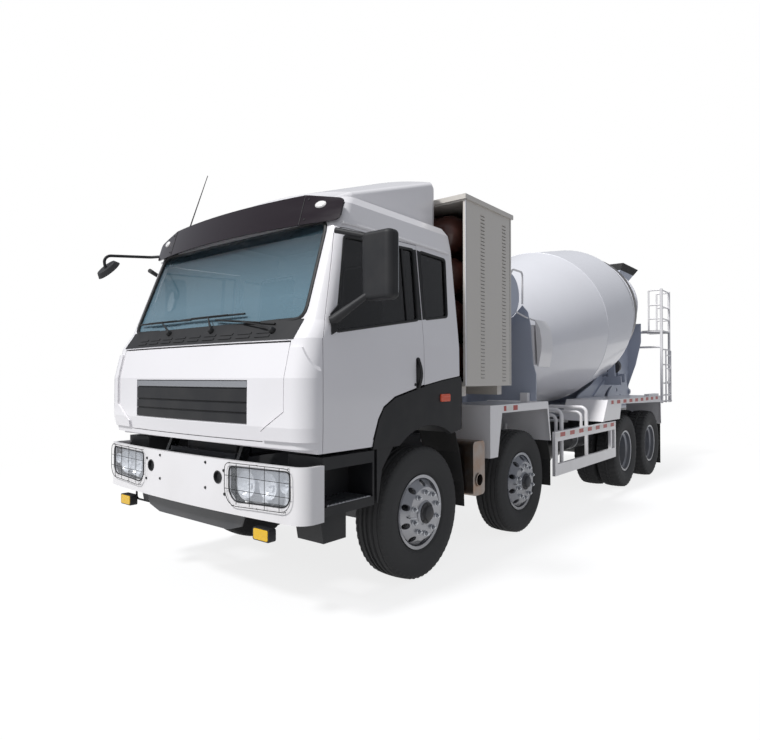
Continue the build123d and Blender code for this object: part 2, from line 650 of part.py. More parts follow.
def cab_form(inset, mode):
    """The cab's outer form, pulled in by the same amount on every side."""
    faces = []
    for height, front, half, corner, rear in CAB_SECTIONS:
        half_in = half - inset
        nose = front - inset
        drop = half_in**2 / (2 * CROWN_R)
        level = height
        if height == CAB_SECTIONS[0][0]:
            level = height + inset
        if height > 2800:
            level = height - inset * 0.9
        with BuildSketch(Plane.XY.offset(level)) as section:
            with BuildLine():
                ThreePointArc((nose - drop, -half_in), (nose, 0), (nose - drop, half_in))
                Polyline((nose - drop, half_in), (rear + inset, half_in), (rear + inset, -half_in),
                         (nose - drop, -half_in))
            make_face()
            front_corners = section.vertices().group_by(Axis.X)[-1]
            rear_corners = section.vertices().group_by(Axis.X)[0]
            fillet(front_corners, max(corner - inset, 30))
            fillet(rear_corners, 60 if not inset else 30)
        faces.append(section.sketch)
    loft(faces, ruled=True, mode=mode)


def door_space(gap, side, mode, depth=0):
    """The room a door takes: its lower half stands outside the floor's edge."""
    lower = [(DOOR_HINGE[0] - 6 - gap, 1140 + gap), (DOOR_HINGE[0] - 6 - gap, 1900),
             (DOOR_REAR + gap, 1900), (DOOR_REAR + gap, 1584 + gap), (3961, 1549 + gap),
             (4199, 1497 + gap), (4333, 1427 + gap), (4391 + gap, 1339 + gap), (4444 + gap, 1200 + gap),
             (4460 + gap, 1140 + gap)]
    upper = [(DOOR_HINGE[0] - 6 - gap, 1860), (DOOR_HINGE[0] - 6 - gap, 1881), (4735 - gap, 2640),
             (4690 - gap, 2690 - gap), (DOOR_REAR + gap, 2716 - gap), (DOOR_REAR + gap, 1860)]
    side_slab(lower, (side * (1190 - depth), side * 1300), mode)
    side_slab(upper, (side * (1030 - depth), side * 1300), mode)


DOOR_WINDOW = [(4829, 1948), (3862, 2100), (3850, 2672), (4674, 2629)]
QUARTER_WINDOW = [(3770, 2112), (3428, 2160), (3385, 2664), (3762, 2672)]
SCREEN = [(-1085, 2030), (1085, 2030), (1040, 2750), (-1040, 2750)]
LID = [(-LID_HALF, LID_TOP), (LID_HALF, LID_TOP), (1062, 1420), (853, 1287), (850, 1215),
       (-850, 1215), (-853, 1287), (-1062, 1420)]


def lid_outline(gap):
    """The front lid's outline, pulled in by the panel gap."""
    return [(-LID_HALF + gap, LID_TOP - LID_TOP_GAP), (LID_HALF - gap, LID_TOP - LID_TOP_GAP),
            (1062 - gap, 1424), (853 - gap, 1291), (850 - gap, 1215 + gap),
            (-850 + gap, 1215 + gap), (-853 + gap, 1291), (-1062 + gap, 1424)]


with BuildPart() as raw_cab:
    cab_form(0, Mode.ADD)

with BuildPart() as cab_cavity:
    cab_form(CAB_WALL, Mode.ADD)
    side_slab([(4530, 1100), (4530, 1190), (4400, 1470), (4330, 1510), (3200, 1724), (3200, 1100)],
              (-1300, 1300), Mode.SUBTRACT)
    block((3200, 5040), (-TUNNEL_HALF - 40, TUNNEL_HALF + 40), (1100, TUNNEL_TOP + 40), Mode.SUBTRACT)
    block((4960, 5300), (-1300, 1300), (1100, 1940), Mode.SUBTRACT)

with BuildPart() as screen_room:
    with BuildSketch(Plane.YZ.offset(4600)) as glass_edge:
        with BuildLine():
            Polyline(*SCREEN, close=True)
        make_face()
        fillet(glass_edge.vertices(), 90)
    extrude(glass_edge.sketch, amount=700)

# The corner panels stand a little proud of the cab's front beside the lid.
BLADE = [(1078, 1840), (1170, 1840), (1300, 1600), (1300, 1230), (862, 1230), (862, 1283), (1074, 1416)]
with BuildPart() as corner_blades:
    cab_form(-BLADE_OUT, Mode.ADD)
    cab_form(0, Mode.SUBTRACT)
    with BuildSketch(Plane.YZ.offset(4985)) as blade_edge:
        for side in (1, -1):
            with BuildLine():
                Polyline(*[(side * y, z) for y, z in BLADE], close=True)
            make_face()
    extrude(blade_edge.sketch, amount=400, mode=Mode.INTERSECT)

with BuildPart() as cab_shell:
    add(raw_cab.part)
    add(corner_blades.part)
    side_slab(ARCH_LINE, (-1300, 1300), Mode.SUBTRACT)
    block((3200, 4990), (-TUNNEL_HALF, TUNNEL_HALF), (1100, TUNNEL_TOP), Mode.SUBTRACT)
    add(cab_cavity.part, mode=Mode.SUBTRACT)
    front_slab(LID, (4990, 5300), Mode.SUBTRACT)
    block((5000, 5300), (-1300, 1300), (1100, 1181), Mode.SUBTRACT)
    add(screen_room.part, mode=Mode.SUBTRACT)
    for side in (1, -1):
        door_space(0, side, Mode.SUBTRACT, PANEL_GAP)
        side_slab(QUARTER_WINDOW, (side * 1000, side * 1300), Mode.SUBTRACT)
        side_slab([(4995, 910), (5080, 910), (5085, 950), (5000, 1152), (4930, 1152), (4995, 950)],
                  (side * 445, side * 480))
        block((4930, 5000), (side * 400, side * 480), (1150, 1200))
        rod((TILT_PIN[0], side * 440, TILT_PIN[1]), (TILT_PIN[0], side * 490, TILT_PIN[1]), 31, Mode.SUBTRACT)
keep(cab_shell, "cab_shell")

with BuildPart() as wall_skin:
    add(raw_cab.part)
    cab_form(CAB_WALL, Mode.SUBTRACT)

# Each mirror arm: its root, its outer end, and the radius at each.
MIRROR_ARMS = (
    ((4866, 1254, 2028), (0, 1480, 2235), 34, 16),
    ((4790, 1190, 2640), (0, 1480, 2560), 20, 16),
)

for word, side in SIDES:
    with BuildPart() as door_room:
        door_space(PANEL_GAP, side, Mode.ADD)
    with BuildPart() as door:
        add(wall_skin.part)
        add(door_room.part, mode=Mode.INTERSECT)
        side_slab(DOOR_WINDOW, (side * 1000, side * 1300), Mode.SUBTRACT)
    keep(door, f"door_{word}")

    # The left mirror stands out beside the windscreen; the right one is folded further back.
    head_x, head_low = (4700, 2150) if side == 1 else (4330, 2190)
    with BuildPart() as mirror_head:
        with BuildSketch(Plane.XY.offset(head_low)) as head:
            with Locations((head_x, side * 1507)):
                RectangleRounded(120, 256, 48)
        extrude(head.sketch, amount=450)
        fillet(mirror_head.faces().sort_by(Axis.Z)[-1].edges(), 30)
        fillet(mirror_head.faces().sort_by(Axis.Z)[0].edges(), 30)
    with BuildPart() as mirror_arm:
        add(mirror_head.part)
        rod((4880, side * 1228, 2020), (4860, side * 1262, 2030), 30)
        for pair in MIRROR_ARMS:
            stations = []
            for (x, y, z), radius in zip((pair[0], (head_x, pair[1][1], pair[1][2])), (pair[2], pair[3])):
                stations.append(((x, side * y, z), radius))
            tapered_rod(*stations)
        rod((head_x, side * 1505, head_low + 30), (head_x, side * 1505, head_low + 420), 14)
        add(door.part, mode=Mode.SUBTRACT)
    keep(mirror_arm, f"mirror_{word}")

with BuildPart() as lid_room:
    front_slab(lid_outline(PANEL_GAP), (4700, 5300))

with BuildPart() as grille_room:
    add(raw_cab.part)
    cab_form(14, Mode.SUBTRACT)
    front_slab([(-722, 1326), (722, 1326), (722, 1628), (-722, 1628)], (5000, 5300), Mode.INTERSECT)

with BuildPart() as front_lid:
    add(raw_cab.part)
    cab_form(30, Mode.SUBTRACT)
    add(lid_room.part, mode=Mode.INTERSECT)
    add(grille_room.part, mode=Mode.SUBTRACT)
keep(front_lid, "front_lid")

with BuildPart() as windscreen:
    cab_form(14, Mode.ADD)
    cab_form(20, Mode.SUBTRACT)
    add(screen_room.part, mode=Mode.INTERSECT)
keep(windscreen, "windscreen")

# ---------------------------------------------------------- things on the cab
VISOR_EDGE = [(-1165, 2731), (1165, 2731), (1165, 2893), (832, 2965), (-832, 2965), (-1165, 2893)]


def visor_form(back, mode):
    """The visor's body between two curved faces that lean back towards the top."""
    faces = []
    for height, nose, end in ((2725, 4868, 4728), (2970, 4792, 4652)):
        with BuildSketch(Plane.XY.offset(height)) as plan:
            with BuildLine():
                ThreePointArc((end - back, -1170), (nose - back, 0), (end - back, 1170))
                Polyline((end - back, 1170), (4500, 1170), (4500, -1170), (end - back, -1170))
            make_face()
        faces.append(plan.sketch)
    loft(faces, ruled=True, mode=mode)


with BuildPart() as visor_room:
    with BuildSketch(Plane.YZ.offset(4400)) as visor_edge:
        with BuildLine():
            Polyline(*VISOR_EDGE, close=True)
        make_face()
        fillet(visor_edge.vertices(), 45)
    extrude(visor_edge.sketch, amount=600)

with BuildPart() as sun_visor:
    visor_form(0, Mode.ADD)
    visor_form(12, Mode.SUBTRACT)
    add(visor_room.part, mode=Mode.INTERSECT)
    for y in (-1100, -550, 0, 550, 1100):
        block((4560, 4812 - 140 * (y / 1170) ** 2), (y - 8, y + 8), (2860, 2890))
    add(raw_cab.part, mode=Mode.SUBTRACT)
keep(sun_visor, "sun_visor")

FAIRING = ((4600, 930, 2950, 2975), (4393, 985, 3040, 3150), (3320, 985, 3389, 3530), (3275, 970, 3370, 3512))

with BuildPart() as roof_fairing:
    faces = []
    for x, half, edge, crown in FAIRING:
        with BuildSketch(Plane.YZ.offset(x)) as section:
            with BuildLine():
                ThreePointArc((-half, edge), (0, crown), (half, edge))
                Polyline((half, edge), (half, 2900), (-half, 2900), (-half, edge))
            make_face()
            fillet(section.vertices().group_by(Axis.Y)[-1], 45 if x < 4500 else 8)
        faces.append(section.sketch)
    loft(faces, ruled=True)
    add(raw_cab.part, mode=Mode.SUBTRACT)
keep(roof_fairing, "roof_fairing")

column_axis = Vector(-sin(radians(COLUMN_TILT)), 0, cos(radians(COLUMN_TILT)))

with BuildPart() as dashboard:
    side_slab([(4960, 1520), (4960, 1940), (4890, 1960), (4620, 1880), (4560, 1760),
               (4640, 1600), (4700, 1520)],
              (-1120, 1120))
    rod(Vector(*WHEEL_HUB) - column_axis * 51, Vector(*WHEEL_HUB) - column_axis * 300, 30)
keep(dashboard, "dashboard")

with BuildPart() as steering_wheel:
    hub_plane = Plane(origin=WHEEL_HUB, z_dir=column_axis)
    with BuildSketch(hub_plane.offset(-50)) as hub:
        Circle(45)
    extrude(hub.sketch, amount=60)
    for angle in (90, 210, 330):
        with BuildSketch(hub_plane.offset(-10)) as spoke:
            with PolarLocations(0, 1, start_angle=angle):
                with Locations((105, 0)):
                    Rectangle(210, 36)
        extrude(spoke.sketch, amount=14)
    with BuildSketch(Plane(origin=hub_plane.origin, x_dir=hub_plane.x_dir, z_dir=hub_plane.y_dir)) as rim_ring:
        with Locations((215, 0)):
            Circle(15)
    revolve(rim_ring.sketch, axis=Axis(hub_plane.origin, column_axis))
keep(steering_wheel, "steering_wheel")

def floor_top(x):
    """The height of the cab's sloping floor."""
    return 1724 - (x - 3200) * 214 / 1130


with BuildPart() as seats:
    for side in (1, -1):
        block((3840, 4290), (side * 320, side * 820), (1850, 1990))
        side_slab([(3890, 1940), (3800, 2640), (3710, 2640), (3780, 1940)], (side * 320, side * 820))
        side_slab([(3920, floor_top(3920)), (4220, floor_top(4220)), (4220, 1850), (3920, 1850)],
                  (side * 400, side * 740))
    side_slab([(3345, floor_top(3345)), (3700, floor_top(3700)), (3700, 1900), (3345, 1900)], (-1120, 1120))
keep(seats, "seats")

# The black arch fills the space between the cab's lower edge and the wheel.
with BuildPart() as cab_arches:
    for side in (1, -1):
        side_slab([(4453, 1130), (4434, 1196), (4382, 1334), (4327, 1419), (4197, 1488), (3960, 1540),
                   (3811, 1570), (3805, 1576), (3552, 1616), (3325, 1643), (3262, 1652), (3240, 1600),
                   (3240, 1200), (3600, 1130)], (side * 1190, side * 1240))
        side_slab([(4400, 1140), (4400, 740), (4389, 740), (4340, 980), (4200, 1140)],
                  (side * 1130, side * 1232))
    rod((ARCH_CENTRE[0], -1300, ARCH_CENTRE[1]), (ARCH_CENTRE[0], 1300, ARCH_CENTRE[1]), ARCH_R, Mode.SUBTRACT)
    for side in (1, -1):
        with BuildSketch(Plane.XZ.offset(-side * 620)) as liner:
            with Locations(ARCH_CENTRE):
                Circle(ARCH_R + 12)
                Circle(ARCH_R, mode=Mode.SUBTRACT)
            with Locations((ARCH_CENTRE[0], 0)):
                Rectangle(2000, 2360, mode=Mode.SUBTRACT)
        extrude(liner.sketch, amount=-side * 580)
keep(cab_arches, "cab_arches")

with BuildPart() as front_mirror:
    bent_tube([(4640, -1100, 2790), (4735, -1270, 2785), (5128, -1396, 2755), (5104, -1398, 2630)], 13, 60)
    glass_plane = Plane(origin=(5078, -1400, 2632), x_dir=(0, 1, 0), z_dir=(-0.74, 0, -0.68))
    with BuildSketch(glass_plane.offset(-30)) as back:
        Circle(95)
    with BuildSketch(glass_plane.offset(12)) as face:
        Circle(116)
    loft([back.sketch, face.sketch])
    add(raw_cab.part, mode=Mode.SUBTRACT)
keep(front_mirror, "front_mirror")

# -------------------------------------------------------------- front bumper
LAMP_OPENING = [(560, 1035), (1130, 1045), (1130, 860), (1090, 815), (620, 800), (560, 860)]


def bumper_form(inset, mode, height):
    """The bumper's plan, pulled in, raised to the height of its top."""
    nose, half = FRONT_END - inset, 1245 - inset
    drop = half**2 / (2 * CROWN_R)
    with BuildSketch(Plane.XY.offset(height[0])) as plan:
        with BuildLine():
            ThreePointArc((nose - drop, -half), (nose, 0), (nose - drop, half))
            Polyline((nose - drop, half), (4950, half), (4950, -half), (nose - drop, -half))
        make_face()
        fillet(plan.vertices().group_by(Axis.X)[-1], 110 - inset)
    extrude(plan.sketch, amount=height[1] - height[0], mode=mode)


with BuildPart() as front_bumper:
    bumper_form(0, Mode.ADD, (710, 1075))
    bumper_form(18, Mode.SUBTRACT, (700, 1057))
    bumper_form(34, Mode.SUBTRACT, (1050, 1080))
    for side in (1, -1):
        opening = [(side * y, z) for y, z in LAMP_OPENING]
        front_slab(opening, (5000, 5300), Mode.SUBTRACT)
        rod((5100, side * 440, 949), (5300, side * 440, 949), 42, Mode.SUBTRACT)
        block((5170, 5182), (side * 330, side * 390), (830, 930))
keep(front_bumper, "front_bumper")

with BuildPart() as lamp_room:
    for side in (1, -1):
        opening = [(side * y, z) for y, z in LAMP_OPENING]
        front_slab(opening, (5000, 5300))

with BuildPart() as lamps:
    bumper_form(8, Mode.ADD, (790, 1050))
    bumper_form(90, Mode.SUBTRACT, (700, 1100))
    add(lamp_room.part, mode=Mode.INTERSECT)
    for side in (1, -1):
        block((5085, 5165), (side * 800, side * 960), (575, 655))
        block((5110, 5140), (side * 870, side * 890), (655, 712))
        block((-3720, -3680), (side * 820, side * 1150), (480, 560))
keep(lamps, "lamps")

# ---------------------------------------------------- plates beside the frame
with BuildPart() as cab_steps:
    for side in (1, -1):
        side_slab([(4950, 1123), (4430, 1123), (4430, 735), (4950, 735)], (side * 900, side * 1232))
        side_slab([(4935, 1040), (4450, 1040), (4450, 800), (4935, 800)],
                  (side * 1000, side * 1300), Mode.SUBTRACT)
        block((4440, 4940), (side * 950, side * 1238), (772, 800))
        side_slab([(4900, 735), (4640, 735), (4640, 533), (4860, 533)], (side * 900, side * 1150))
        rod((4700, side * RAIL_OUT, 930), (4700, side * 901, 930), 35)
keep(cab_steps, "cab_steps")

with BuildPart() as mudguards:
    for side in (1, -1):
        wide = (side * 640, side * 1238)
        folded_sheet([(2725, 880), (2725, 1378), (1386, 1378), (1310, 935)], wide, GUARD_T)
        side_slab([(2725, 880), (2725, 1378), (1386, 1378), (1310, 935), (1332, 935), (1408, 1298),
                   (2486, 1298), (2575, 880)], (side * 1230, side * 1238))
        rod((2700, side * RAIL_OUT, 1000), (2700, side * 700, 1000), 22)
        rod((2700, side * 700, 990), (2700, side * 700, 1360), 22)
        rod((1355, side * RAIL_OUT, 1000), (1355, side * 700, 1000), 18)
        rod((1355, side * 700, 990), (1355, side * 700, 1100), 18)
        wide = (side * 650, side * 1238)
        folded_sheet([(-450, 1042), (-650, 1330), (-3500, 1326), (-3530, 833)], wide, GUARD_T)
        side_slab([(-450, 1042), (-650, 1330), (-3500, 1326), (-3530, 833), (-3500, 833), (-3470, 1215),
                   (-1262, 1259), (-1176, 1042)], (side * 1230, side * 1238))
        block((-3520, -2900), (side * 1120, side * 1200), (1326, 1362))
        rod((-560, side * RAIL_OUT, 1020), (-560, side * 700, 1020), 20)
        rod((-3490, side * RAIL_OUT, 1000), (-3490, side * 700, 1000), 20)
keep(mudguards, "mudguards")

with BuildPart() as mud_flaps:
    for side in (1, -1):
        folded_sheet([(1304, 930), (1228, 700), (1228, 411)], (side * 700, side * 1195), 8)
        folded_sheet([(-3535, 830), (-3535, 135)], (side * 600, side * 1220), 8)
        folded_sheet([(3215, 1190), (3130, 975), (3062, 700), (3050, 480)], (side * 760, side * 1150), 10)
        rod((3120, side * RAIL_OUT, 960), (3120, side * 800, 960), 20)
keep(mud_flaps, "mud_flaps")

with BuildPart() as side_guards:
    for side in (1, -1):
        side_slab([(1196, 1020), (-984, 1020), (-984, 512), (1196, 512)], (side * 1205, side * 1240))
        side_slab([(1120, 906), (-760, 906), (-760, 645), (1120, 645)],
                  (side * 1200, side * 1245), Mode.SUBTRACT)
        side_slab([(-815, 906), (-930, 906), (-930, 645), (-815, 645)],
                  (side * 1200, side * 1245), Mode.SUBTRACT)
        for x in (870, 40, -790):
            low = -1 if x == -790 else 1
            bent_tube([(x, side * 1183, 560 if low == 1 else 1100), (x, side * 1183, 1255),
                       (x, side * 640, 1255), (x, side * 640, 1115), (x, side * RAIL_OUT, 1115)], 23, 75)
            bent_tube([(x, side * 1115, 1000), (x, side * 1115, 1192), (x, side * 660, 1192)], 20, 70)
            block((x - 20, x + 20), (side * 1105, side * 1190), (990, 1012))
keep(side_guards, "side_guards")

with BuildPart() as air_tanks:
    for side in (1, -1):
        rod((-120, side * 800, 800), (-900, side * 800, 800), 140)
        for x in (-300, -700):
            block((x - 20, x + 20), (side * RAIL_OUT, side * 680), (780, 820))
keep(air_tanks, "air_tanks")

with BuildPart() as exhaust_silencer:
    with BuildSketch(Plane.XZ.offset(-930)) as box:
        with Locations((2925, 816)):
            RectangleRounded(210, 492, 40)
    extrude(box.sketch, amount=-300)
    rod((2928, 1100, 710), (2928, 1240, 710), 62)
    rod((2928, 1120, 710), (2928, 1250, 710), 52, Mode.SUBTRACT)
    rod((2925, RAIL_OUT, 900), (2925, 932, 900), 40)
keep(exhaust_silencer, "exhaust_silencer")

# --------------------------------------------------------------- gas cabinet
with BuildPart() as gas_cabinet:
    block(CABINET_X, (-CABINET_HALF, CABINET_HALF), CABINET_Z)
    block((CABINET_X[0] + 20, 3100), (-CABINET_HALF + 20, CABINET_HALF - 20), (1600, 3233), Mode.SUBTRACT)
    block((3000, 3200), (-CABINET_HALF + 20, CABINET_HALF - 20), (1600, 3218), Mode.SUBTRACT)
    block((CABINET_X[0] - 16, CABINET_X[1] + 18), (-1248, 1248), (3232, 3276))
    for x in (2330, 3020):
        block((x, x + 90), (-1150, 1150), (1475, 1566))
        for side in (1, -1):
            block((x, x + 80), (side * 356, side * 430), (RAIL_TOP, 1480))
keep(gas_cabinet, "gas_cabinet")

with BuildPart() as gas_cylinders:
    for x in (2510, 2900):
        for z in (1810, 2210, 2610, 3010):
            with BuildSketch(Plane(origin=(x, 0, z), x_dir=(0, 1, 0), z_dir=(1, 0, 0))) as half:
                with BuildLine():
                    Line((-1150, 0), (1150, 0))
                    Polyline((1150, 0), (1150, 28), (1075, 28))
                    ThreePointArc((1075, 28), (1015, 140), (900, 180))
                    Line((900, 180), (-900, 180))
                    ThreePointArc((-900, 180), (-1015, 140), (-1075, 28))
                    Polyline((-1075, 28), (-1150, 28), (-1150, 0))
                make_face()
            revolve(half.sketch, axis=Axis((x, 0, z), (0, 1, 0)))
    for y in (-600, 600):
        block((2690, 2720), (y - 30, y + 30), (1600, 3226))
        for z in (1626, 2010, 2410, 2810, 3200):
            block((2330, 3070), (y - 30, y + 30), (z - 26, z + 26))
keep(gas_cylinders, "gas_cylinders")

# ------------------------------------------------------------ ladder, platform

with BuildPart() as ladder_platform:
    for x, radius in zip(LADDER_X, (24, 26)):
        rod((x, LADDER_Y, 1150), (x, LADDER_Y, 3372), radius)
    for z in (1300, 1534, 1898, 2196, 2794, 3026, 3350):
        rod((LADDER_X[0], LADDER_Y, z), (LADDER_X[1], LADDER_Y, z), 14)
    for x in STEP_X:
        block((x - 7, x + 7), (LADDER_Y - 12, LADDER_PIN[0] + 12), (LADDER_PIN[1] - 14, LADDER_PIN[1] + 14))
    rod((STEP_X[0] - 10, LADDER_PIN[0], LADDER_PIN[1]), (STEP_X[1] + 10, LADDER_PIN[0], LADDER_PIN[1]), 10)
    rod((LADDER_X[0], LADDER_Y, LADDER_PIN[1]), (LADDER_X[1], LADDER_Y, LADDER_PIN[1]), 16)
    block((-5176, -4560), (640, 1018), PLATFORM_Z)
    for x, y in ((-4582, 770), (-5176, 770)):
        rod((x, y, 2545), (x, y, 3350), 16)
    for z in (2794, 3060, 3350):
        for x in LADDER_X:
            rod((x, 770, z), (x, LADDER_Y, z), 14)
    rod((-4600, 412, 2533), (-4600, LADDER_Y, 2533), 22)
    rod((-4470, 560, 2240), (LADDER_X[1], 560, 2240), 20)
    rod((LADDER_X[1], 540, 2240), (LADDER_X[1], LADDER_Y, 2240), 20)
    rod((-4410, RAIL_OUT, 1115), (-4410, 930, 1115), 28)
    rod((-4410, 905, 1115), (LADDER_X[1], LADDER_Y, 1190), 24)
keep(ladder_platform, "ladder_platform")

with BuildPart() as ladder_lower:
    for x in (-5085, -4715):
        rod((x, LADDER_PIN[0], LADDER_PIN[1]), (x, LADDER_PIN[0], 2180), 15)
        rod((x - 14, LADDER_PIN[0], LADDER_PIN[1]), (x + 14, LADDER_PIN[0], LADDER_PIN[1]), 21)
        rod((x - 18, LADDER_PIN[0], LADDER_PIN[1]), (x + 18, LADDER_PIN[0], LADDER_PIN[1]), 10.5, Mode.SUBTRACT)
    for z in (1300, 1560, 1820, 2080):
        rod((-5085, LADDER_PIN[0], z), (-4715, LADDER_PIN[0], z), 12)
keep(ladder_lower, "ladder_lower")
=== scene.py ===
"""Looks of a four-axle concrete mixer truck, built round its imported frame.

Lengths are metres in the truck's own frame: +X forward, +Y to the truck's left, +Z up, with the
origin on the ground. Sizes written in millimetres are turned to metres by mm() and mm_rows().
"""

from __future__ import annotations

import json
import logging
from abc import ABC, abstractmethod
from dataclasses import dataclass, field
from enum import Enum
from typing import Any, Callable, Sequence

import bmesh
import bpy
import numpy as np
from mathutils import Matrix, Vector

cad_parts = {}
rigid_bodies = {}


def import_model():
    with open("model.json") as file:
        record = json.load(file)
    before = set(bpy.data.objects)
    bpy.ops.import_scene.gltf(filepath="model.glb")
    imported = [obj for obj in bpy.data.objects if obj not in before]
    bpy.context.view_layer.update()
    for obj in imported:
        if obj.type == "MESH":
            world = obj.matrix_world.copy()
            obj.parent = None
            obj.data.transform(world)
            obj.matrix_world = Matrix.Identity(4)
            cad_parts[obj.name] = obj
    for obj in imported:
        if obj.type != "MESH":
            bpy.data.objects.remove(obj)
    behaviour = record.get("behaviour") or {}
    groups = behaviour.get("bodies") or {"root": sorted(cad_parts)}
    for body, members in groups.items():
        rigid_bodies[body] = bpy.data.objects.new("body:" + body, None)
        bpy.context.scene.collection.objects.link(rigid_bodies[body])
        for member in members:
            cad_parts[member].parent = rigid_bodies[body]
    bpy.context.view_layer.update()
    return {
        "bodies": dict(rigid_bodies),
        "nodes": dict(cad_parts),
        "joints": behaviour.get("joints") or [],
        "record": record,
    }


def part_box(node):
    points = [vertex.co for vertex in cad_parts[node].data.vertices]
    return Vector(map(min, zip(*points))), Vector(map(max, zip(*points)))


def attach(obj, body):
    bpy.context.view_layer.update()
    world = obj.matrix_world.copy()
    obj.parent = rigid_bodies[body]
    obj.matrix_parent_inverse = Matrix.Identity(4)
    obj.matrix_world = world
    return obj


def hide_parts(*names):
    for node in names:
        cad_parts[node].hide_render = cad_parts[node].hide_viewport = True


Array = np.ndarray
Tree = bpy.types.NodeTree
Rows = Sequence[Sequence[float]]
LOG = logging.getLogger("mixer")
TAU = 2 * np.pi
ORIGIN = (0.0, 0.0, 0.0)
AHEAD = (1.0, 0.0, 0.0)
UP = (0.0, 0.0, 1.0)


def mm(*values: float) -> Any:
    """Turn millimetres to metres: one value, or an array of several."""
    scaled = np.array(values, float) / 1000
    return float(scaled[0]) if len(values) == 1 else scaled


def mm_rows(rows: Rows) -> Array:
    """Turn rows of millimetres to an array of rows in metres."""
    return mm(1) * np.array(rows, float)


def rows_field(rows: Rows) -> Any:
    """Return a dataclass field whose value is an array of rows, given in millimetres."""
    return field(default_factory=lambda: mm_rows(rows))


# --------------------------------------------------------------------------- node helpers
def linear(code: str) -> tuple[float, float, float, float]:
    """Turn an sRGB hex colour to linear red, green, blue and full opacity.

    Args:
        code: the colour as six hex digits after a hash sign.

    Returns:
        The four linear values.
    """
    parts = np.array([int(code[i:i + 2], 16) for i in (1, 3, 5)]) / 255
    values = np.where(parts <= 0.04045, parts / 12.92, ((parts + 0.055) / 1.055) ** 2.4)
    return (*values.tolist(), 1.0)


def feed(tree: Tree, node: Any, inputs: dict[Any, Any] | Sequence[Any]) -> None:
    """Give a node's inputs their values or their links.

    Args:
        tree: the node tree.
        node: the node that takes them.
        inputs: values, output sockets or nodes, by input name or number, or in input order.
    """
    pairs = inputs.items() if isinstance(inputs, dict) else enumerate(inputs)
    for key, value in pairs:
        if isinstance(value, bpy.types.Node):
            value = value.outputs[0]
        if isinstance(value, bpy.types.NodeSocket):
            tree.links.new(value, node.inputs[key])
        else:
            node.inputs[key].default_value = value


def add_node(tree: Tree, kind: str, inputs: dict[Any, Any] | Sequence[Any] = (), **settings: Any) -> Any:
    """Add one shader node with its settings, its values and its links.

    Args:
        tree: the node tree that takes it.
        kind: the node's type name without its "ShaderNode" start.
        inputs: what its inputs take, as feed() reads it.
        settings: attributes of the node.

    Returns:
        The node.
    """
    made = tree.nodes.new("ShaderNode" + kind)
    for key, value in settings.items():
        setattr(made, key, value)
    feed(tree, made, inputs)
    return made


def object_place(tree: Tree) -> Any:
    """Return the socket of the object coordinates, which are the truck's own."""
    return add_node(tree, "TexCoord").outputs["Object"]


def object_axis(tree: Tree, axis: int) -> Any:
    """Return the socket of one object coordinate: 0 is X, 1 is Y and 2 is Z."""
    return add_node(tree, "SeparateXYZ", (object_place(tree),)).outputs[axis]


def either(tree: Tree, first: Any, second: Any) -> Any:
    """Return a node that is 1 where at least one of two shares is 1."""
    return add_node(tree, "Math", (first, second), operation="MAXIMUM")


def mottle(tree: Tree, size_mm: float, detail: float = 3, stretch: Sequence[float] = (1, 1, 1)) -> Any:
    """Cloudy pattern on object coordinates whose blobs measure about size_mm.

    Args:
        tree: the node tree.
        size_mm: the width of one blob in millimetres.
        detail: how many finer octaves ride on it.
        stretch: how much longer a blob is along X, Y and Z.

    Returns:
        The pattern's value socket.
    """
    scale = tuple(1000 / (size_mm * s) for s in stretch)
    mapped = add_node(tree, "Mapping", {"Vector": object_place(tree), "Scale": scale})
    return add_node(tree, "TexNoise", {"Vector": mapped, "Scale": 1.0, "Detail": detail}).outputs[0]


def clouds(tree: Tree, size_mm: float, detail: float, cuts: tuple[float, float],
           shares: tuple[float, float]) -> Any:
    """Cloudy pattern that runs evenly from one share to another between two of its values.

    Args:
        tree: the node tree.
        size_mm: the width of one blob in millimetres.
        detail: how many finer octaves ride on it.
        cuts: the pattern's values at which the share starts and stops changing.
        shares: the shares at those two values.

    Returns:
        The node of the share.
    """
    return add_node(tree, "MapRange", (mottle(tree, size_mm, detail), *cuts, *shares))


def relief(tree: Tree, pattern: Any, depth_mm: float, strength: float) -> Any:
    """Turn a pattern to bumps that only the light sees.

    Args:
        tree: the node tree.
        pattern: the socket or node whose value is the height.
        depth_mm: the height in millimetres of a value of 1.
        strength: how strongly the bumps turn the surface.

    Returns:
        The node of the bumpy surface's direction.
    """
    return add_node(tree, "Bump", {"Height": pattern, "Distance": mm(depth_mm), "Strength": strength})


def patches(tree: Tree, shares: Any, first: str | Any, second: str) -> Any:
    """Blend a second colour over a first by a share from 0 to 1.

    Args:
        tree: the node tree.
        shares: the share's socket or node.
        first: the colour below, as a hex code or a socket.
        second: the colour above, as a hex code.

    Returns:
        The blended colour's socket.
    """
    below = linear(first) if isinstance(first, str) else first
    return add_node(tree, "Mix", {0: shares, 6: below, 7: linear(second)}, data_type="RGBA").outputs[2]


# --------------------------------------------------------------------------- finishes
@dataclass(frozen=True)
class Finish(ABC):
    """One surface finish: its name, colour and shine, and how its nodes are made."""

    name: str
    colour: str
    roughness: float = 0.4

    def material(self) -> bpy.types.Material:
        """Make this finish's material, or find the one made before.

        Returns:
            The material.
        """
        found = bpy.data.materials.get(self.name)
        if found is not None:
            return found
        made = bpy.data.materials.new(self.name)
        made.use_nodes = True
        tree = made.node_tree
        shader = tree.nodes["Principled BSDF"]
        feed(tree, shader, {"Base Color": linear(self.colour), "Roughness": self.roughness})
        made.diffuse_color = linear(self.colour)
        self.detail(tree, shader)
        return made

    @abstractmethod
    def detail(self, tree: Tree, shader: Any) -> None:
        """Add this kind of finish's pattern to the shader.

        Args:
            tree: the material's node tree.
            shader: its surface shader node.
        """


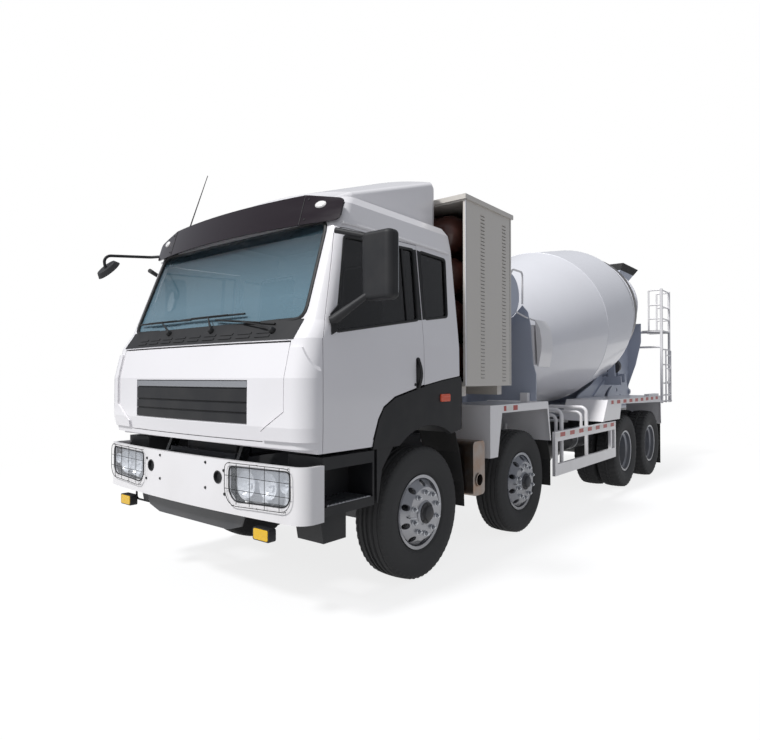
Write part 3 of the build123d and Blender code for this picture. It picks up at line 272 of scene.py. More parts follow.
@dataclass(frozen=True)
class Enamel(Finish):
    """Sprayed two-pack enamel: a clear gloss over colour, faint orange peel, road dust low down."""

    dust: str = "#8d8478"
    dust_top: float = 1.1
    dust_most: float = 0.16
    metallic: float = 0.0
    black_below: float = 0.0
    black: str = "#17181a"
    dust_low: float = 0.25
    dust_least: float = 0.015

    def detail(self, tree: Tree, shader: Any) -> None:
        """Add the dust that thins out upwards, the cloudy tone and the orange peel.

        Args:
            tree: the material's node tree.
            shader: its surface shader node.
        """
        feed(tree, shader, {"Coat Weight": 0.4, "Coat Roughness": 0.08, "Metallic": self.metallic})
        height = object_axis(tree, 2)
        low = add_node(tree, "MapRange",
                       (height, self.dust_low, self.dust_top, self.dust_most, self.dust_least))
        cloud = clouds(tree, 240, 4, (0.3, 0.75), (0.3, 1.5))
        film = add_node(tree, "Math", (low, cloud), operation="MULTIPLY")
        tone = clouds(tree, 900, 2, (0.3, 0.7), (0.0, 0.04))
        painted = patches(tree, film, patches(tree, tone, self.colour, self.dust), self.dust)
        if self.black_below:
            under = add_node(tree, "Math", (height, self.black_below), operation="LESS_THAN")
            painted = patches(tree, under, painted, self.black)
        # The orange peel has swells 60 mm wide and about a tenth of a millimetre deep.
        peel = relief(tree, mottle(tree, 60, 1), 0.12, 0.3)
        feed(tree, shader, {"Base Color": painted, "Normal": peel})


@dataclass(frozen=True)
class Moulded(Finish):
    """Moulded plastic or rubber with a fine grain that scatters the light."""

    grain_mm: float = 6.0
    grain_depth: float = 0.12
    faded: str = "#5e5b56"
    faded_most: float = 0.16

    def detail(self, tree: Tree, shader: Any) -> None:
        """Add the moulded grain and a little dust in its hollows.

        Args:
            tree: the material's node tree.
            shader: its surface shader node.
        """
        dust = clouds(tree, 180, 4, (0.35, 0.75), (0, self.faded_most))
        grain = relief(tree, mottle(tree, self.grain_mm, 2), self.grain_depth, 0.5)
        feed(tree, shader, {"Base Color": patches(tree, dust, self.colour, self.faded), "Normal": grain})


@dataclass(frozen=True)
class Acrylic(Finish):
    """Cast tinted acrylic: deep colour under a polished skin, with wiping marks in the gloss."""

    def detail(self, tree: Tree, shader: Any) -> None:
        """Add the polished skin and the faint wiping marks.

        Args:
            tree: the material's node tree.
            shader: its surface shader node.
        """
        feed(tree, shader, {"Coat Weight": 0.25, "Coat Roughness": 0.05, "IOR": 1.4})
        marks = mottle(tree, 90, 3, (1, 6, 1))
        feed(tree, shader, {"Roughness": add_node(tree, "MapRange", (marks, 0.3, 0.7, 0.10, 0.22))})


@dataclass(frozen=True)
class TyreRubber(Finish):
    """Carbon-black tyre rubber: dull, with grey road dust caught in its hollows."""

    dust: str = "#5f5a53"

    def detail(self, tree: Tree, shader: Any) -> None:
        """Add the dust and a faint moulded texture.

        Args:
            tree: the material's node tree.
            shader: its surface shader node.
        """
        share = clouds(tree, 60, 5, (0.35, 0.75), (0.02, 0.26))
        skin = relief(tree, mottle(tree, 8, 3), 0.3, 0.5)
        feed(tree, shader, {"Base Color": patches(tree, share, self.colour, self.dust), "Normal": skin,
                            "Specular IOR Level": 0.35})


@dataclass(frozen=True)
class Steel(Finish):
    """Bare or plated metal: streaks along one direction stretch its highlights."""

    streak: tuple[float, float, float] = (1, 1, 1)
    streak_mm: float = 6.0
    tint: str = "#8a6f5c"
    tint_most: float = 0.0

    def detail(self, tree: Tree, shader: Any) -> None:
        """Add the brushed streaks and any heat or rust tint.

        Args:
            tree: the material's node tree.
            shader: its surface shader node.
        """
        lines = mottle(tree, self.streak_mm, 4, self.streak)
        rough = add_node(tree, "MapRange", (lines, 0.3, 0.7, self.roughness * 0.75, self.roughness * 1.3))
        patch = clouds(tree, 90, 5, (0.35, 0.7), (0, self.tint_most))
        feed(tree, shader, {"Metallic": 1.0, "Roughness": rough, "Normal": relief(tree, lines, 0.05, 0.3),
                            "Base Color": patches(tree, patch, self.colour, self.tint)})


@dataclass(frozen=True)
class CastPaint(Finish):
    """Thick dull paint over a sand casting: coarse pits and oily dirt."""

    dirt: str = "#4a433b"

    def detail(self, tree: Tree, shader: Any) -> None:
        """Add the casting's pits and the dirt in them.

        Args:
            tree: the material's node tree.
            shader: its surface shader node.
        """
        share = clouds(tree, 130, 5, (0.35, 0.7), (0, 0.5))
        pits = relief(tree, mottle(tree, 9, 4), 0.8, 0.5)
        feed(tree, shader, {"Base Color": patches(tree, share, self.colour, self.dirt), "Normal": pits})


@dataclass(frozen=True)
class Glass(Finish):
    """Tinted window glass: a sheet that lets part of the light through and mirrors the rest.

    Where it has a darkened top, its opaque layer thins out upwards between two heights, which shows the top
    darker as painted shade.
    """

    opacity: float = 0.3
    ior: float = 1.9
    clear_top: tuple[float, float, float] | None = None

    def detail(self, tree: Tree, shader: Any) -> None:
        """Set how much passes through, with a dust film that only dulls it a little.

        Args:
            tree: the material's node tree.
            shader: its surface shader node.
        """
        film = clouds(tree, 140, 4, (0.3, 0.75), (self.roughness, self.roughness + 0.04))
        feed(tree, shader, {"Alpha": self.opacity, "IOR": self.ior, "Roughness": film})
        # On the windscreen the opaque layer is a painted sky reflection, and its thinning upwards is painted
        # shade under the visor.
        if self.clear_top:
            low, high, least = self.clear_top
            painted_reflection_fade = add_node(tree, "MapRange", (object_axis(tree, 2), low, high, self.opacity, least))
            feed(tree, shader, {"Alpha": painted_reflection_fade})


@dataclass(frozen=True)
class Reflector(Finish):
    """Prismatic lamp plastic: small lens ribs that break the light up."""

    rib_mm: float = 14.0
    glow: float = 0.0

    def detail(self, tree: Tree, shader: Any) -> None:
        """Add the rows of lens ribs, and a faint emission: painted light that makes the unlit lens look lit.

        Args:
            tree: the material's node tree.
            shader: its surface shader node.
        """
        ribs = (1.0, 1000 / self.rib_mm, 1000 / self.rib_mm)
        mapped = add_node(tree, "Mapping", {"Vector": object_place(tree), "Scale": ribs})
        cells = add_node(tree, "TexVoronoi", {"Vector": mapped, "Scale": 1.0}, distance="CHEBYCHEV")
        # The emission is painted light: the lamps are off, and it stands in for light caught in the lens.
        feed(tree, shader, {"Normal": relief(tree, cells, 3, 0.8), "Emission Color": linear(self.colour),
                            "Emission Strength": self.glow})


@dataclass(frozen=True)
class Tape(Finish):
    """Reflective marking tape: red and white lengths in turn, along the truck."""

    second: str = "#e9e6e2"
    length_mm: float = 150.0
    cell_mm: float = 9.0

    def detail(self, tree: Tree, shader: Any) -> None:
        """Switch colour every tape length, over a fine honeycomb.

        Args:
            tree: the material's node tree.
            shader: its surface shader node.
        """
        length = mm(self.length_mm)
        turns = add_node(tree, "Math", (object_axis(tree, 0), 2 * length), operation="FLOORED_MODULO")
        step = add_node(tree, "Math", (turns, length), operation="GREATER_THAN")
        cells = add_node(tree, "TexVoronoi", {"Vector": object_place(tree), "Scale": 1000 / self.cell_mm})
        feed(tree, shader, {"Base Color": patches(tree, step, self.colour, self.second),
                            "Normal": relief(tree, cells, 0.2, 0.4)})


@dataclass(frozen=True)
class Woven(Finish):
    """Woven seat cloth: crossing yarns and a soft sheen."""

    yarn_mm: float = 5.0
    worn: str = "#5d5e62"

    def detail(self, tree: Tree, shader: Any) -> None:
        """Add the waves of the three yarn directions for the weave, and the nap's sheen.

        Args:
            tree: the material's node tree.
            shader: its surface shader node.
        """
        place = object_place(tree)
        weave: Any = 0.0
        for axis in ("X", "Y", "Z"):
            wave = add_node(tree, "TexWave", {"Vector": place, "Scale": 1000 / self.yarn_mm / TAU,
                                              "Distortion": 1.5}, bands_direction=axis)
            weave = add_node(tree, "Math", (weave, wave.outputs["Fac"]), operation="ADD")
        share = clouds(tree, 120, 4, (0.35, 0.75), (0, 0.3))
        feed(tree, shader, {"Normal": relief(tree, weave, 0.5, 0.6), "Sheen Weight": 0.3,
                            "Base Color": patches(tree, share, self.colour, self.worn)})


@dataclass(frozen=True)
class StagePaper(Finish):
    """Pale studio floor: it keeps a light shadow of the truck and melts into white further out."""

    near: float = 4.0
    far: float = 9.0
    least_white: float = 0.75
    pale: str = "#e6e6e8"
    lift: float = 0.25

    def detail(self, tree: Tree, shader: Any) -> None:
        """Show the lit floor more and more as plain white with distance from the middle.

        Args:
            tree: the material's node tree.
            shader: its surface shader node.
        """
        away = add_node(tree, "VectorMath", (object_place(tree),), operation="LENGTH").outputs["Value"]
        fade = add_node(tree, "MapRange", (away, self.near, self.far, self.least_white, 1.0))
        rays = add_node(tree, "LightPath").outputs
        seen = either(tree, rays["Is Camera Ray"], rays["Is Glossy Ray"])
        white, lift = (add_node(tree, "Emission", {"Color": (1, 1, 1, 1), "Strength": strength})
                       for strength in (1.0, self.lift))
        pale = add_node(tree, "BsdfDiffuse", {"Color": linear(self.pale)})
        lit = add_node(tree, "AddShader", (pale, lift))
        shown = add_node(tree, "MixShader", (fade, lit, white))
        final = add_node(tree, "MixShader", (seen, shader, shown))
        feed(tree, tree.nodes["Material Output"], {"Surface": final})


class Look(Enum):
    """The finishes that this truck uses, by what each is."""

    WHITE = Enamel("white_cab_enamel", "#f1eff1", 0.26, black_below=1.149)
    BODY_WHITE = Enamel("white_body_enamel", "#eeeced", 0.30)
    DRUM = Enamel("white_drum_enamel", "#e9e9ee", 0.34, dust_top=1.6)
    CHASSIS = Enamel("dark_grey_chassis_enamel", "#262a31", 0.5, dust_top=1.2, dust_most=0.12)
    # These parts are white paint; their blue-grey colour is painted shade, the cool tone white takes out of
    # the sun.
    PEDESTAL = Enamel("blue_grey_enamel", "#b2b9c9", 0.38, dust_top=1.4, dust_most=0.25)
    CABINET = Enamel("beige_cabinet_enamel", "#d6d1c9", 0.42)
    WHEEL_BRIGHT = Enamel("bright_silver_wheel_enamel", "#9c9ea4", 0.30, metallic=0.6, dust_most=0.2)
    WHEEL = Enamel("grey_wheel_enamel", "#8a8e97", 0.40, metallic=0.3, dust_most=0.3)
    CYLINDER = Enamel("red_brown_cylinder_enamel", "#5a3129", 0.4)
    PLASTIC = Moulded("black_moulded_polypropylene", "#15161a", 0.6, faded_most=0.1)
    VISOR = Acrylic("dark_maroon_acrylic", "#1c1119", 0.16)
    INTERIOR = Moulded("grey_moulded_interior", "#505154", 0.6)
    FLAP = Moulded("black_sheet_rubber", "#1b1b1c", 0.75, grain_mm=12, grain_depth=0.4)
    SEAL = Moulded("black_rubber_seal", "#0f1014", 0.6, grain_mm=12, grain_depth=0.05, faded_most=0.08)
    # One dark colour for the cabinet's real seams and for painted shade inside the cabinet and under its
    # louvres.
    LINING = Moulded("dark_lining_paint", "#2b2825", 0.7, grain_mm=30, grain_depth=0.2)
    TYRE = TyreRubber("tyre_rubber", "#19191a", 0.78)
    STAINLESS = Steel("heat_tinted_stainless", "#8d8580", 0.38, streak=(1, 1, 30), tint_most=0.8)
    ZINC = Steel("zinc_plated_steel", "#b9bbbf", 0.35)
    RING_STEEL = Steel("rolled_ring_steel", "#8f8c8a", 0.32, streak=(1, 12, 12), tint="#6d5a48",
                       tint_most=0.3)
    MIRROR = Steel("silvered_mirror_glass", "#e4e6ea", 0.03, streak_mm=60)
    CASTING = CastPaint("painted_grey_casting", "#3c3e43", 0.6)
    # The windscreen's light teal, half opaque layer is painted sky reflection; it thins out towards the top
    # as painted shade under the visor.
    SCREEN = Glass("laminated_windscreen_glass", "#7798a8", 0.02, opacity=0.5,
                   clear_top=(2.2, 2.66, 0.08))
    # A dark sheet of painted shade: the visor's shadow over the top of the windscreen.
    SHADE = Glass("dark_shade_band", "#141b20", 0.05, opacity=0.85)
    WINDOW = Glass("smoked_side_glass", "#0b0b0c", 0.03, opacity=0.78, ior=1.5)
    LENS = Glass("clear_lamp_cover", "#c8ccd0", 0.03, opacity=0.12)
    # The glow of every lens below is painted light, as none of these lamps is switched on.
    AMBER = Reflector("amber_lamp_lens", "#d9781f", 0.2, rib_mm=10, glow=0.06)
    ORANGE = Reflector("orange_marker_lens", "#d8502c", 0.25, rib_mm=8, glow=0.06)
    FOG = Reflector("yellow_fog_lens", "#dcb018", 0.15, rib_mm=22, glow=0.1)
    RED = Reflector("red_tail_lens", "#b0201c", 0.2, rib_mm=9, glow=0.05)
    PEARL = Reflector("white_marker_lens", "#e8e6e4", 0.2, rib_mm=9, glow=0.1)
    # The bowls are a light non-metal that glows: their silver look is painted reflection.
    BULB = Reflector("silvered_lamp_bowl", "#d4d7dc", 0.12, rib_mm=26, glow=0.16)
    TAPE = Tape("red_white_reflective_tape", "#b5332b", 0.35)
    CLOTH = Woven("grey_seat_cloth", "#3b3c40", 0.9)
    FLOOR = StagePaper("pale_studio_floor", "#9a9a9c", 0.85)

    def material(self) -> bpy.types.Material:
        """Return the finish's material."""
        return self.value.material()


# --------------------------------------------------------------------------- forms
@dataclass
class Form:
    """A mesh in the making: its points and its faces as lists of point numbers."""

    points: Array
    faces: list[tuple[int, ...]]

    @staticmethod
    def join(forms: Sequence["Form"]) -> "Form":
        """Put several forms in one, with their faces renumbered.

        Args:
            forms: the forms, in order.

        Returns:
            The joined form.
        """
        starts = np.cumsum([0] + [len(form.points) for form in forms])
        faces = [tuple(int(i) + start for i in face)
                 for form, start in zip(forms, starts) for face in form.faces]
        return Form(np.concatenate([form.points for form in forms]), faces)

    def placed(self, frames: Array) -> "Form":
        """Repeat this form in each frame of an (n, 3, 4) stack: three axes, then the place."""
        stack = np.einsum("nij,kj->nki", frames[:, :, :3], self.points) + frames[:, None, :, 3]
        return Form.join([Form(points, self.faces) for points in stack])

    def moved(self, shift: Sequence[float]) -> "Form":
        """Return this form moved by a shift along the three axes."""
        return Form(self.points + shift, self.faces)

    def copies(self, places: Array) -> "Form":
        """Repeat this form, unturned, at each of several places."""
        return Form.join([self.moved(place) for place in places])

    def mirrored(self) -> "Form":
        """Return this form on the truck's other side, its faces turned to point out again."""
        return Form(self.points * (1, -1, 1), [face[::-1] for face in self.faces])

    def both(self) -> "Form":
        """Return this form and its mirror image together."""
        return Form.join([self, self.mirrored()])


def spots(x: Any, y: Any, z: Any) -> Array:
    """Put coordinates of shapes that fit each other together as points."""
    return np.stack(np.broadcast_arrays(x, y, z), -1)


def grid(points: Array, close_rows: bool = False, close_columns: bool = False, caps: bool = False) -> Form:
    """Join a grid of points with four-sided faces.

    Args:
        points: an (m, n, 3) array; rows follow the first parameter, columns the second.
        close_rows: whether the last row meets the first.
        close_columns: whether the last column meets the first.
        caps: whether the first and the last row are closed with one face each.

    Returns:
        The form.
    """
    m, n = points.shape[:2]
    rows = np.arange(m if close_rows else m - 1)
    columns = np.arange(n if close_columns else n - 1)
    i, j = (a.ravel() for a in np.meshgrid(rows, columns, indexing="ij"))
    i2, j2 = (i + 1) % m, (j + 1) % n
    faces = np.stack([i * n + j, i * n + j2, i2 * n + j2, i2 * n + j], 1)
    listed = list(map(tuple, faces.tolist()))
    if caps:
        listed += [tuple(range(n))[::-1], tuple(range((m - 1) * n, m * n))]
    return Form(points.reshape(-1, 3), listed)


def lathe(profile: Rows, centre: Sequence[float], axis: Sequence[float], steps: int = 48,
          closed: bool = False) -> Form:
    """Sweep a profile round an axis.

    Each profile point (a, r) becomes the circle centre + a * axis + r * (cos t, sin t) in the
    plane square to the axis.

    Args:
        profile: places along the axis and radii, in metres.
        centre: the point from which the profile is measured.
        axis: the direction of the axis, of any length.
        steps: how many points go round.
        closed: whether the profile is closed and makes a ring, or is open and capped at its ends.

    Returns:
        The form.
    """
    along, radius = np.array(profile, float).T
    w = np.array(axis, float) / np.linalg.norm(axis)
    u = np.cross(w, UP if abs(w[2]) < 0.9 else AHEAD)
    u /= np.linalg.norm(u)
    v = np.cross(w, u)
    t = np.linspace(0, TAU, steps, endpoint=False)
    ring = np.cos(t)[:, None] * u + np.sin(t)[:, None] * v
    points = np.array(centre) + along[:, None, None] * w + radius[:, None, None] * ring[None]
    return grid(points, close_rows=closed, close_columns=True, caps=not closed)


def rounded(points: Rows, radius: float, steps: int = 6) -> Array:
    """Round the corners of an open line.

    Each corner is a quadratic curve between two places a radius before and after it, or half a
    run away where the run is short.

    Args:
        points: the line's points.
        radius: how far from its corner a curve starts.
        steps: how many points a curve has.

    Returns:
        The rounded line's points.
    """
    p = np.array(points, float)
    before, corner, after = p[:-2], p[1:-1], p[2:]
    back, ahead = before - corner, after - corner
    lengths = [np.linalg.norm(a, axis=1, keepdims=True) for a in (back, ahead)]
    near = [corner + a / d * np.minimum(radius, d * 0.48) for a, d in zip((back, ahead), lengths)]
    t = np.linspace(0, 1, steps)[None, :, None]
    arcs = (1 - t) ** 2 * near[0][:, None] + 2 * t * (1 - t) * corner[:, None] + t**2 * near[1][:, None]
    return np.concatenate([p[:1], arcs.reshape(-1, 3), p[-1:]])


def tube(path: Array, radius: float | Array, sides: int = 10, up: Sequence[float] = (0.13, 0.21, 0.97),
         closed: bool = False) -> Form:
    """Carry a circle along a path.

    At each path point the circle stands square to the path's direction, on axes made from that
    direction and one fixed up direction.

    Args:
        path: the path's points.
        radius: the circle's radius, or one for each point.
        sides: how many points the circle has.
        up: a direction that the path never follows.
        closed: whether the path's end meets its start.

    Returns:
        The form.
    """
    path = np.array(path, float)
    if closed:
        direction = np.roll(path, -1, 0) - np.roll(path, 1, 0)
    else:
        direction = np.gradient(path, axis=0)
    direction /= np.linalg.norm(direction, axis=1, keepdims=True)
    u = np.cross(direction, up)
    u /= np.linalg.norm(u, axis=1, keepdims=True)
    v = np.cross(direction, u)
    t = np.linspace(0, TAU, sides, endpoint=False)
    size = np.broadcast_to(radius, (len(path),))[:, None, None]
    ring = u[:, None] * np.cos(t)[None, :, None] + v[:, None] * np.sin(t)[None, :, None]
    return grid(path[:, None] + ring * size, close_rows=closed, close_columns=True, caps=not closed)


def plate(outline: Rows, place: Callable[[Array, Array, float], Array], depths: tuple[float, float]) -> Form:
    """A plate with a flat outline, put in space by a function of its two outline axes and depth.

    Args:
        outline: the outline's points on its two axes.
        place: gives the points in space of the outline's two coordinates and one depth.
        depths: the depths of the plate's two faces.

    Returns:
        The form.
    """
    flat = np.array(outline, float)
    sides = [place(flat[:, 0], flat[:, 1], depth) for depth in depths]
    n = len(flat)
    ring = np.arange(n)
    walls = np.stack([ring, (ring + 1) % n, (ring + 1) % n + n, ring + n], 1)
    faces = [tuple(range(n))[::-1], tuple(range(n, 2 * n))] + list(map(tuple, walls.tolist()))
    return Form(np.concatenate(sides), faces)


def level(a: Array, b: Array, depth: float) -> Array:
    """Lay an outline flat: its axes are X and Y, and depth is Z."""
    return spots(a, b, depth)


def facing(a: Array, b: Array, depth: float) -> Array:
    """Stand an outline across the truck: its axes are Y and Z, and depth is X."""
    return spots(depth, a, b)


def sideways(a: Array, b: Array, depth: float) -> Array:
    """Stand an outline along the truck: its axes are X and Z, and depth is Y."""
    return spots(a, depth, b)


def brick(low: Sequence[float], high: Sequence[float]) -> Form:
    """A box between two corners, for pieces that get their edges rounded afterwards.

    Args:
        low: the corner with the least coordinates.
        high: the corner with the greatest.

    Returns:
        The form.
    """
    (x0, y0, z0), (x1, y1, z1) = low, high
    square = [(x0, y0), (x1, y0), (x1, y1), (x0, y1)]
    return plate(square, level, (z0, z1))


def rounded_outline(half_width: float, half_height: float, radius: float, steps: int = 5) -> Array:
    """The outline of a rectangle with round corners, counter-clockwise from its right side.

    Each corner is a quarter circle, turned by a right angle more than the one before.

    Args:
        half_width: half its size on the first axis.
        half_height: half its size on the second axis.
        radius: the corners' radius.
        steps: how many points a corner has.

    Returns:
        The outline's points.
    """
    t = np.linspace(0, np.pi / 2, steps)
    quarter = np.stack([np.cos(t), np.sin(t)], 1) * radius
    turns = [np.array([[np.cos(a), -np.sin(a)], [np.sin(a), np.cos(a)]]) for a in np.arange(4) * np.pi / 2]
    middles = [(half_width - radius, half_height - radius), (radius - half_width, half_height - radius),
               (radius - half_width, radius - half_height), (half_width - radius, radius - half_height)]
    return np.concatenate([quarter @ turn.T + middle for turn, middle in zip(turns, middles)])


def quad(corners: Rows, rows: int, columns: int) -> tuple[Array, Array]:
    """A grid of flat places between four corners: opposite edges are mixed linearly both ways.

    Args:
        corners: the four corners in order round the outline.
        rows: how many rows the grid has.
        columns: how many columns it has.

    Returns:
        The first and the second coordinate of each place.
    """
    a, b, c, d = (np.array(corner, float) for corner in corners)
    u = np.linspace(0, 1, columns)[None, :, None]
    v = np.linspace(0, 1, rows)[:, None, None]
    flat = (1 - v) * ((1 - u) * a + u * b) + v * ((1 - u) * d + u * c)
    return flat[..., 0], flat[..., 1]


def loop(corners: Rows, radius: float, steps: int = 5) -> Array:
    """A closed flat outline with rounded corners: a quadratic curve at each corner.

    Args:
        corners: the corners in order.
        radius: how far from its corner a curve starts.
        steps: how many points a curve has.

    Returns:
        The outline's points.
    """
    flat = np.array(corners, float)
    around = np.concatenate([flat[-1:], flat, flat[:1]])
    return rounded(np.c_[around, np.zeros(len(around))], radius, steps)[1:-1, :2]


def shell_between(outer: Array, inner: Array) -> Form:
    """Close two grids of the same size into one thin body: both faces and a wall round the rim.

    Args:
        outer: the points of the face that shows.
        inner: the points of the face behind it.

    Returns:
        The form.
    """
    m, n = outer.shape[:2]
    front, back = grid(outer), grid(inner)
    number = np.arange(m * n).reshape(m, n)
    rim = np.concatenate([number[0, :], number[1:, -1], number[-1, -2::-1], number[-2:0:-1, 0]])
    after = np.roll(rim, -1)
    wall = np.stack([rim, after, after + m * n, rim + m * n], 1)
    faces = front.faces + [tuple(i + m * n for i in face[::-1]) for face in back.faces]
    return Form(np.concatenate([front.points, back.points]), faces + list(map(tuple, wall.tolist())))


def weld(piece: bpy.types.Object) -> None:
    """Merge a piece's doubled points, so that poles and seams close, and turn its faces outwards.

    Args:
        piece: the object whose mesh is mended.
    """
    work = bmesh.new()
    work.from_mesh(piece.data)
    bmesh.ops.remove_doubles(work, verts=work.verts, dist=1e-6)
    bmesh.ops.recalc_face_normals(work, faces=work.faces)
    work.to_mesh(piece.data)
    work.free()


def make_piece(name: str, form: Form, look: Look, body: str, bevel_mm: float = 0,
               crease: float = 35) -> bpy.types.Object:
    """Make a form a shown piece that rides on a body.

    Args:
        name: the piece's name.
        form: its points and faces, in place.
        look: its finish.
        body: the CAD body that it moves with.
        bevel_mm: the rounding of its edges, or 0.
        crease: the angle in degrees past which an edge stays sharp.

    Returns:
        The object.
    """
    mesh = bpy.data.meshes.new(name)
    mesh.from_pydata(form.points.tolist(), [], form.faces)
    made = bpy.data.objects.new(name, mesh)
    weld(made)
    mesh.polygons.foreach_set("use_smooth", [True] * len(mesh.polygons))
    mesh.set_sharp_from_angle(angle=np.radians(crease))
    mesh.materials.append(look.material())
    bpy.context.scene.collection.objects.link(made)
    if bevel_mm:
        rounding = made.modifiers.new("edges", "BEVEL")
        rounding.width, rounding.segments, rounding.limit_method = mm(bevel_mm), 2, "ANGLE"
        rounding.harden_normals = True
    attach(made, body)
    LOG.info("%s: %d faces on %s", name, len(form.faces), body)
    return made


# --------------------------------------------------------------------------- the truck's own sizes
class Side(Enum):
    """The truck's two sides, as the sign of Y."""

    LEFT = 1
    RIGHT = -1

    @property
    def word(self) -> str:
        """The side's name as bodies and nodes spell it."""
        return self.name.lower()


@dataclass(frozen=True)
class CabShape:
    """The cab's outer surface: half width and front by height, with a crowned front."""

    heights: Array = field(default_factory=lambda: mm(1150, 1320, 1640, 1900, 2023, 2763, 2890, 2960, 3000))
    fronts: Array = field(default_factory=lambda: mm(5150, 5186, 5184, 5123, 5035, 4755, 4690, 4600, 4450))
    halves: Array = field(default_factory=lambda: mm(1236, 1240, 1240, 1236, 1225, 1150, 1125, 1075, 990))
    nose: float = mm(5200)
    crown: float = 11.2

    def side(self, x: Any, z: Any, out: float, side: Side) -> Array:
        """Points on a side wall: y is the half width at that height, plus a distance out."""
        y = side.value * (np.interp(z, self.heights, self.halves) + out)
        return spots(x, y, z)

    def front(self, y: Any, z: Any, out: float) -> Array:
        """Points on the front: x falls off with y squared over twice the crown, plus a distance out."""
        x = np.interp(z, self.heights, self.fronts) - y**2 / (2 * self.crown) + out
        return spots(x, y, z)

    def bumper(self, y: Any, z: Any, out: float) -> Array:
        """Points on the bumper's upright face: x falls off with y squared, plus a distance out."""
        x = self.nose - y**2 / (2 * self.crown) + out
        return spots(x, y, z)

    def sheet(self, corners: Rows, counts: tuple[int, int], outs: tuple[float, float], side: Side) -> Form:
        """A thin sheet that follows a side wall inside a four-cornered outline.

        Args:
            corners: the outline's places along and up the wall.
            counts: its rows and columns.
            outs: the distances out of its two faces.
            side: the cab's side.

        Returns:
            The form.
        """
        x, z = quad(corners, *counts)
        return shell_between(*(self.side(x, z, out, side) for out in outs))

    def strip(self, across: Array, heights: Sequence[float], outs: tuple[float, float]) -> Form:
        """A thin strip that follows the crowned front.

        Args:
            across: its places across the cab.
            heights: its heights, from below.
            outs: the distances out of its two faces.

        Returns:
            The form.
        """
        up = np.array(heights)[:, None]
        return shell_between(*(self.front(across[None], up, out) for out in outs))


CAB = CabShape()


# --------------------------------------------------------------------------- stage
@dataclass
class Stage:
    """Camera, lamps and floor."""

    eye: tuple[float, float, float] = (7.653, 3.905, 1.644)
    heading: float = -140.89
    rise: float = 0.74
    focal: float = 27.66
    film: float = 36
    sky: float = 0.45
    sky_colour: str = "#eef2fa"
    sun: float = 3.0
    sun_width: float = 9
    sun_from: tuple[float, float, float] = (0.62, -0.12, 0.74)
    floor_size: float = 60.0
    reach: float = 300

    def build(self) -> None:
        """Set the camera, the world, the sun and the floor."""
        scene = bpy.context.scene
        self.aim(scene)
        scene.view_settings.view_transform = "Standard"
        self.light(scene)
        half = self.floor_size / 2
        across = np.array([-half, half])
        form = grid(spots(across[None], across[:, None], 0.0))
        mesh = bpy.data.meshes.new("studio_floor")
        mesh.from_pydata(form.points.tolist(), [], form.faces)
        mesh.materials.append(Look.FLOOR.material())
        floor = bpy.data.objects.new("studio_floor", mesh)
        scene.collection.objects.link(floor)

    def aim(self, scene: bpy.types.Scene) -> None:
        """Put the camera at its eye point, turned by its heading and its rise.

        Args:
            scene: the scene that it looks at.
        """
        camera = bpy.data.objects.new("camera", bpy.data.cameras.new("camera"))
        camera.data.lens, camera.data.sensor_width = self.focal, self.film
        camera.location = self.eye
        yaw, pitch = np.radians([self.heading, self.rise])
        sight = Vector((np.cos(pitch) * np.cos(yaw), np.cos(pitch) * np.sin(yaw), np.sin(pitch)))
        camera.rotation_mode = "QUATERNION"
        camera.rotation_quaternion = sight.to_track_quat("-Z", "Y")
        camera.data.clip_end = self.reach
        scene.collection.objects.link(camera)
        scene.camera = camera

    def light(self, scene: bpy.types.Scene) -> None:
        """One soft high sun from the front right, and an even sky that the camera sees as white.

        Args:
            scene: the scene that they light.
        """
        lamp = bpy.data.lights.new("sun", "SUN")
        lamp.energy, lamp.angle = self.sun, np.radians(self.sun_width)
        sun = bpy.data.objects.new("sun", lamp)
        sun.rotation_mode = "QUATERNION"
        sun.rotation_quaternion = Vector(self.sun_from).to_track_quat("Z", "Y")
        scene.collection.objects.link(sun)
        world = bpy.data.worlds.new("sky")
        world.use_nodes = True
        scene.world = world
        tree = world.node_tree
        rays = add_node(tree, "LightPath").outputs
        seen = either(tree, rays["Is Camera Ray"], rays["Is Transmission Ray"])
        base = tree.nodes["Background"]
        feed(tree, base, (linear(self.sky_colour), self.sky))
        white = add_node(tree, "Background", ((1, 1, 1, 1), 1.0))
        mixed = add_node(tree, "MixShader", (seen, base, white))
        feed(tree, tree.nodes["World Output"], (mixed,))


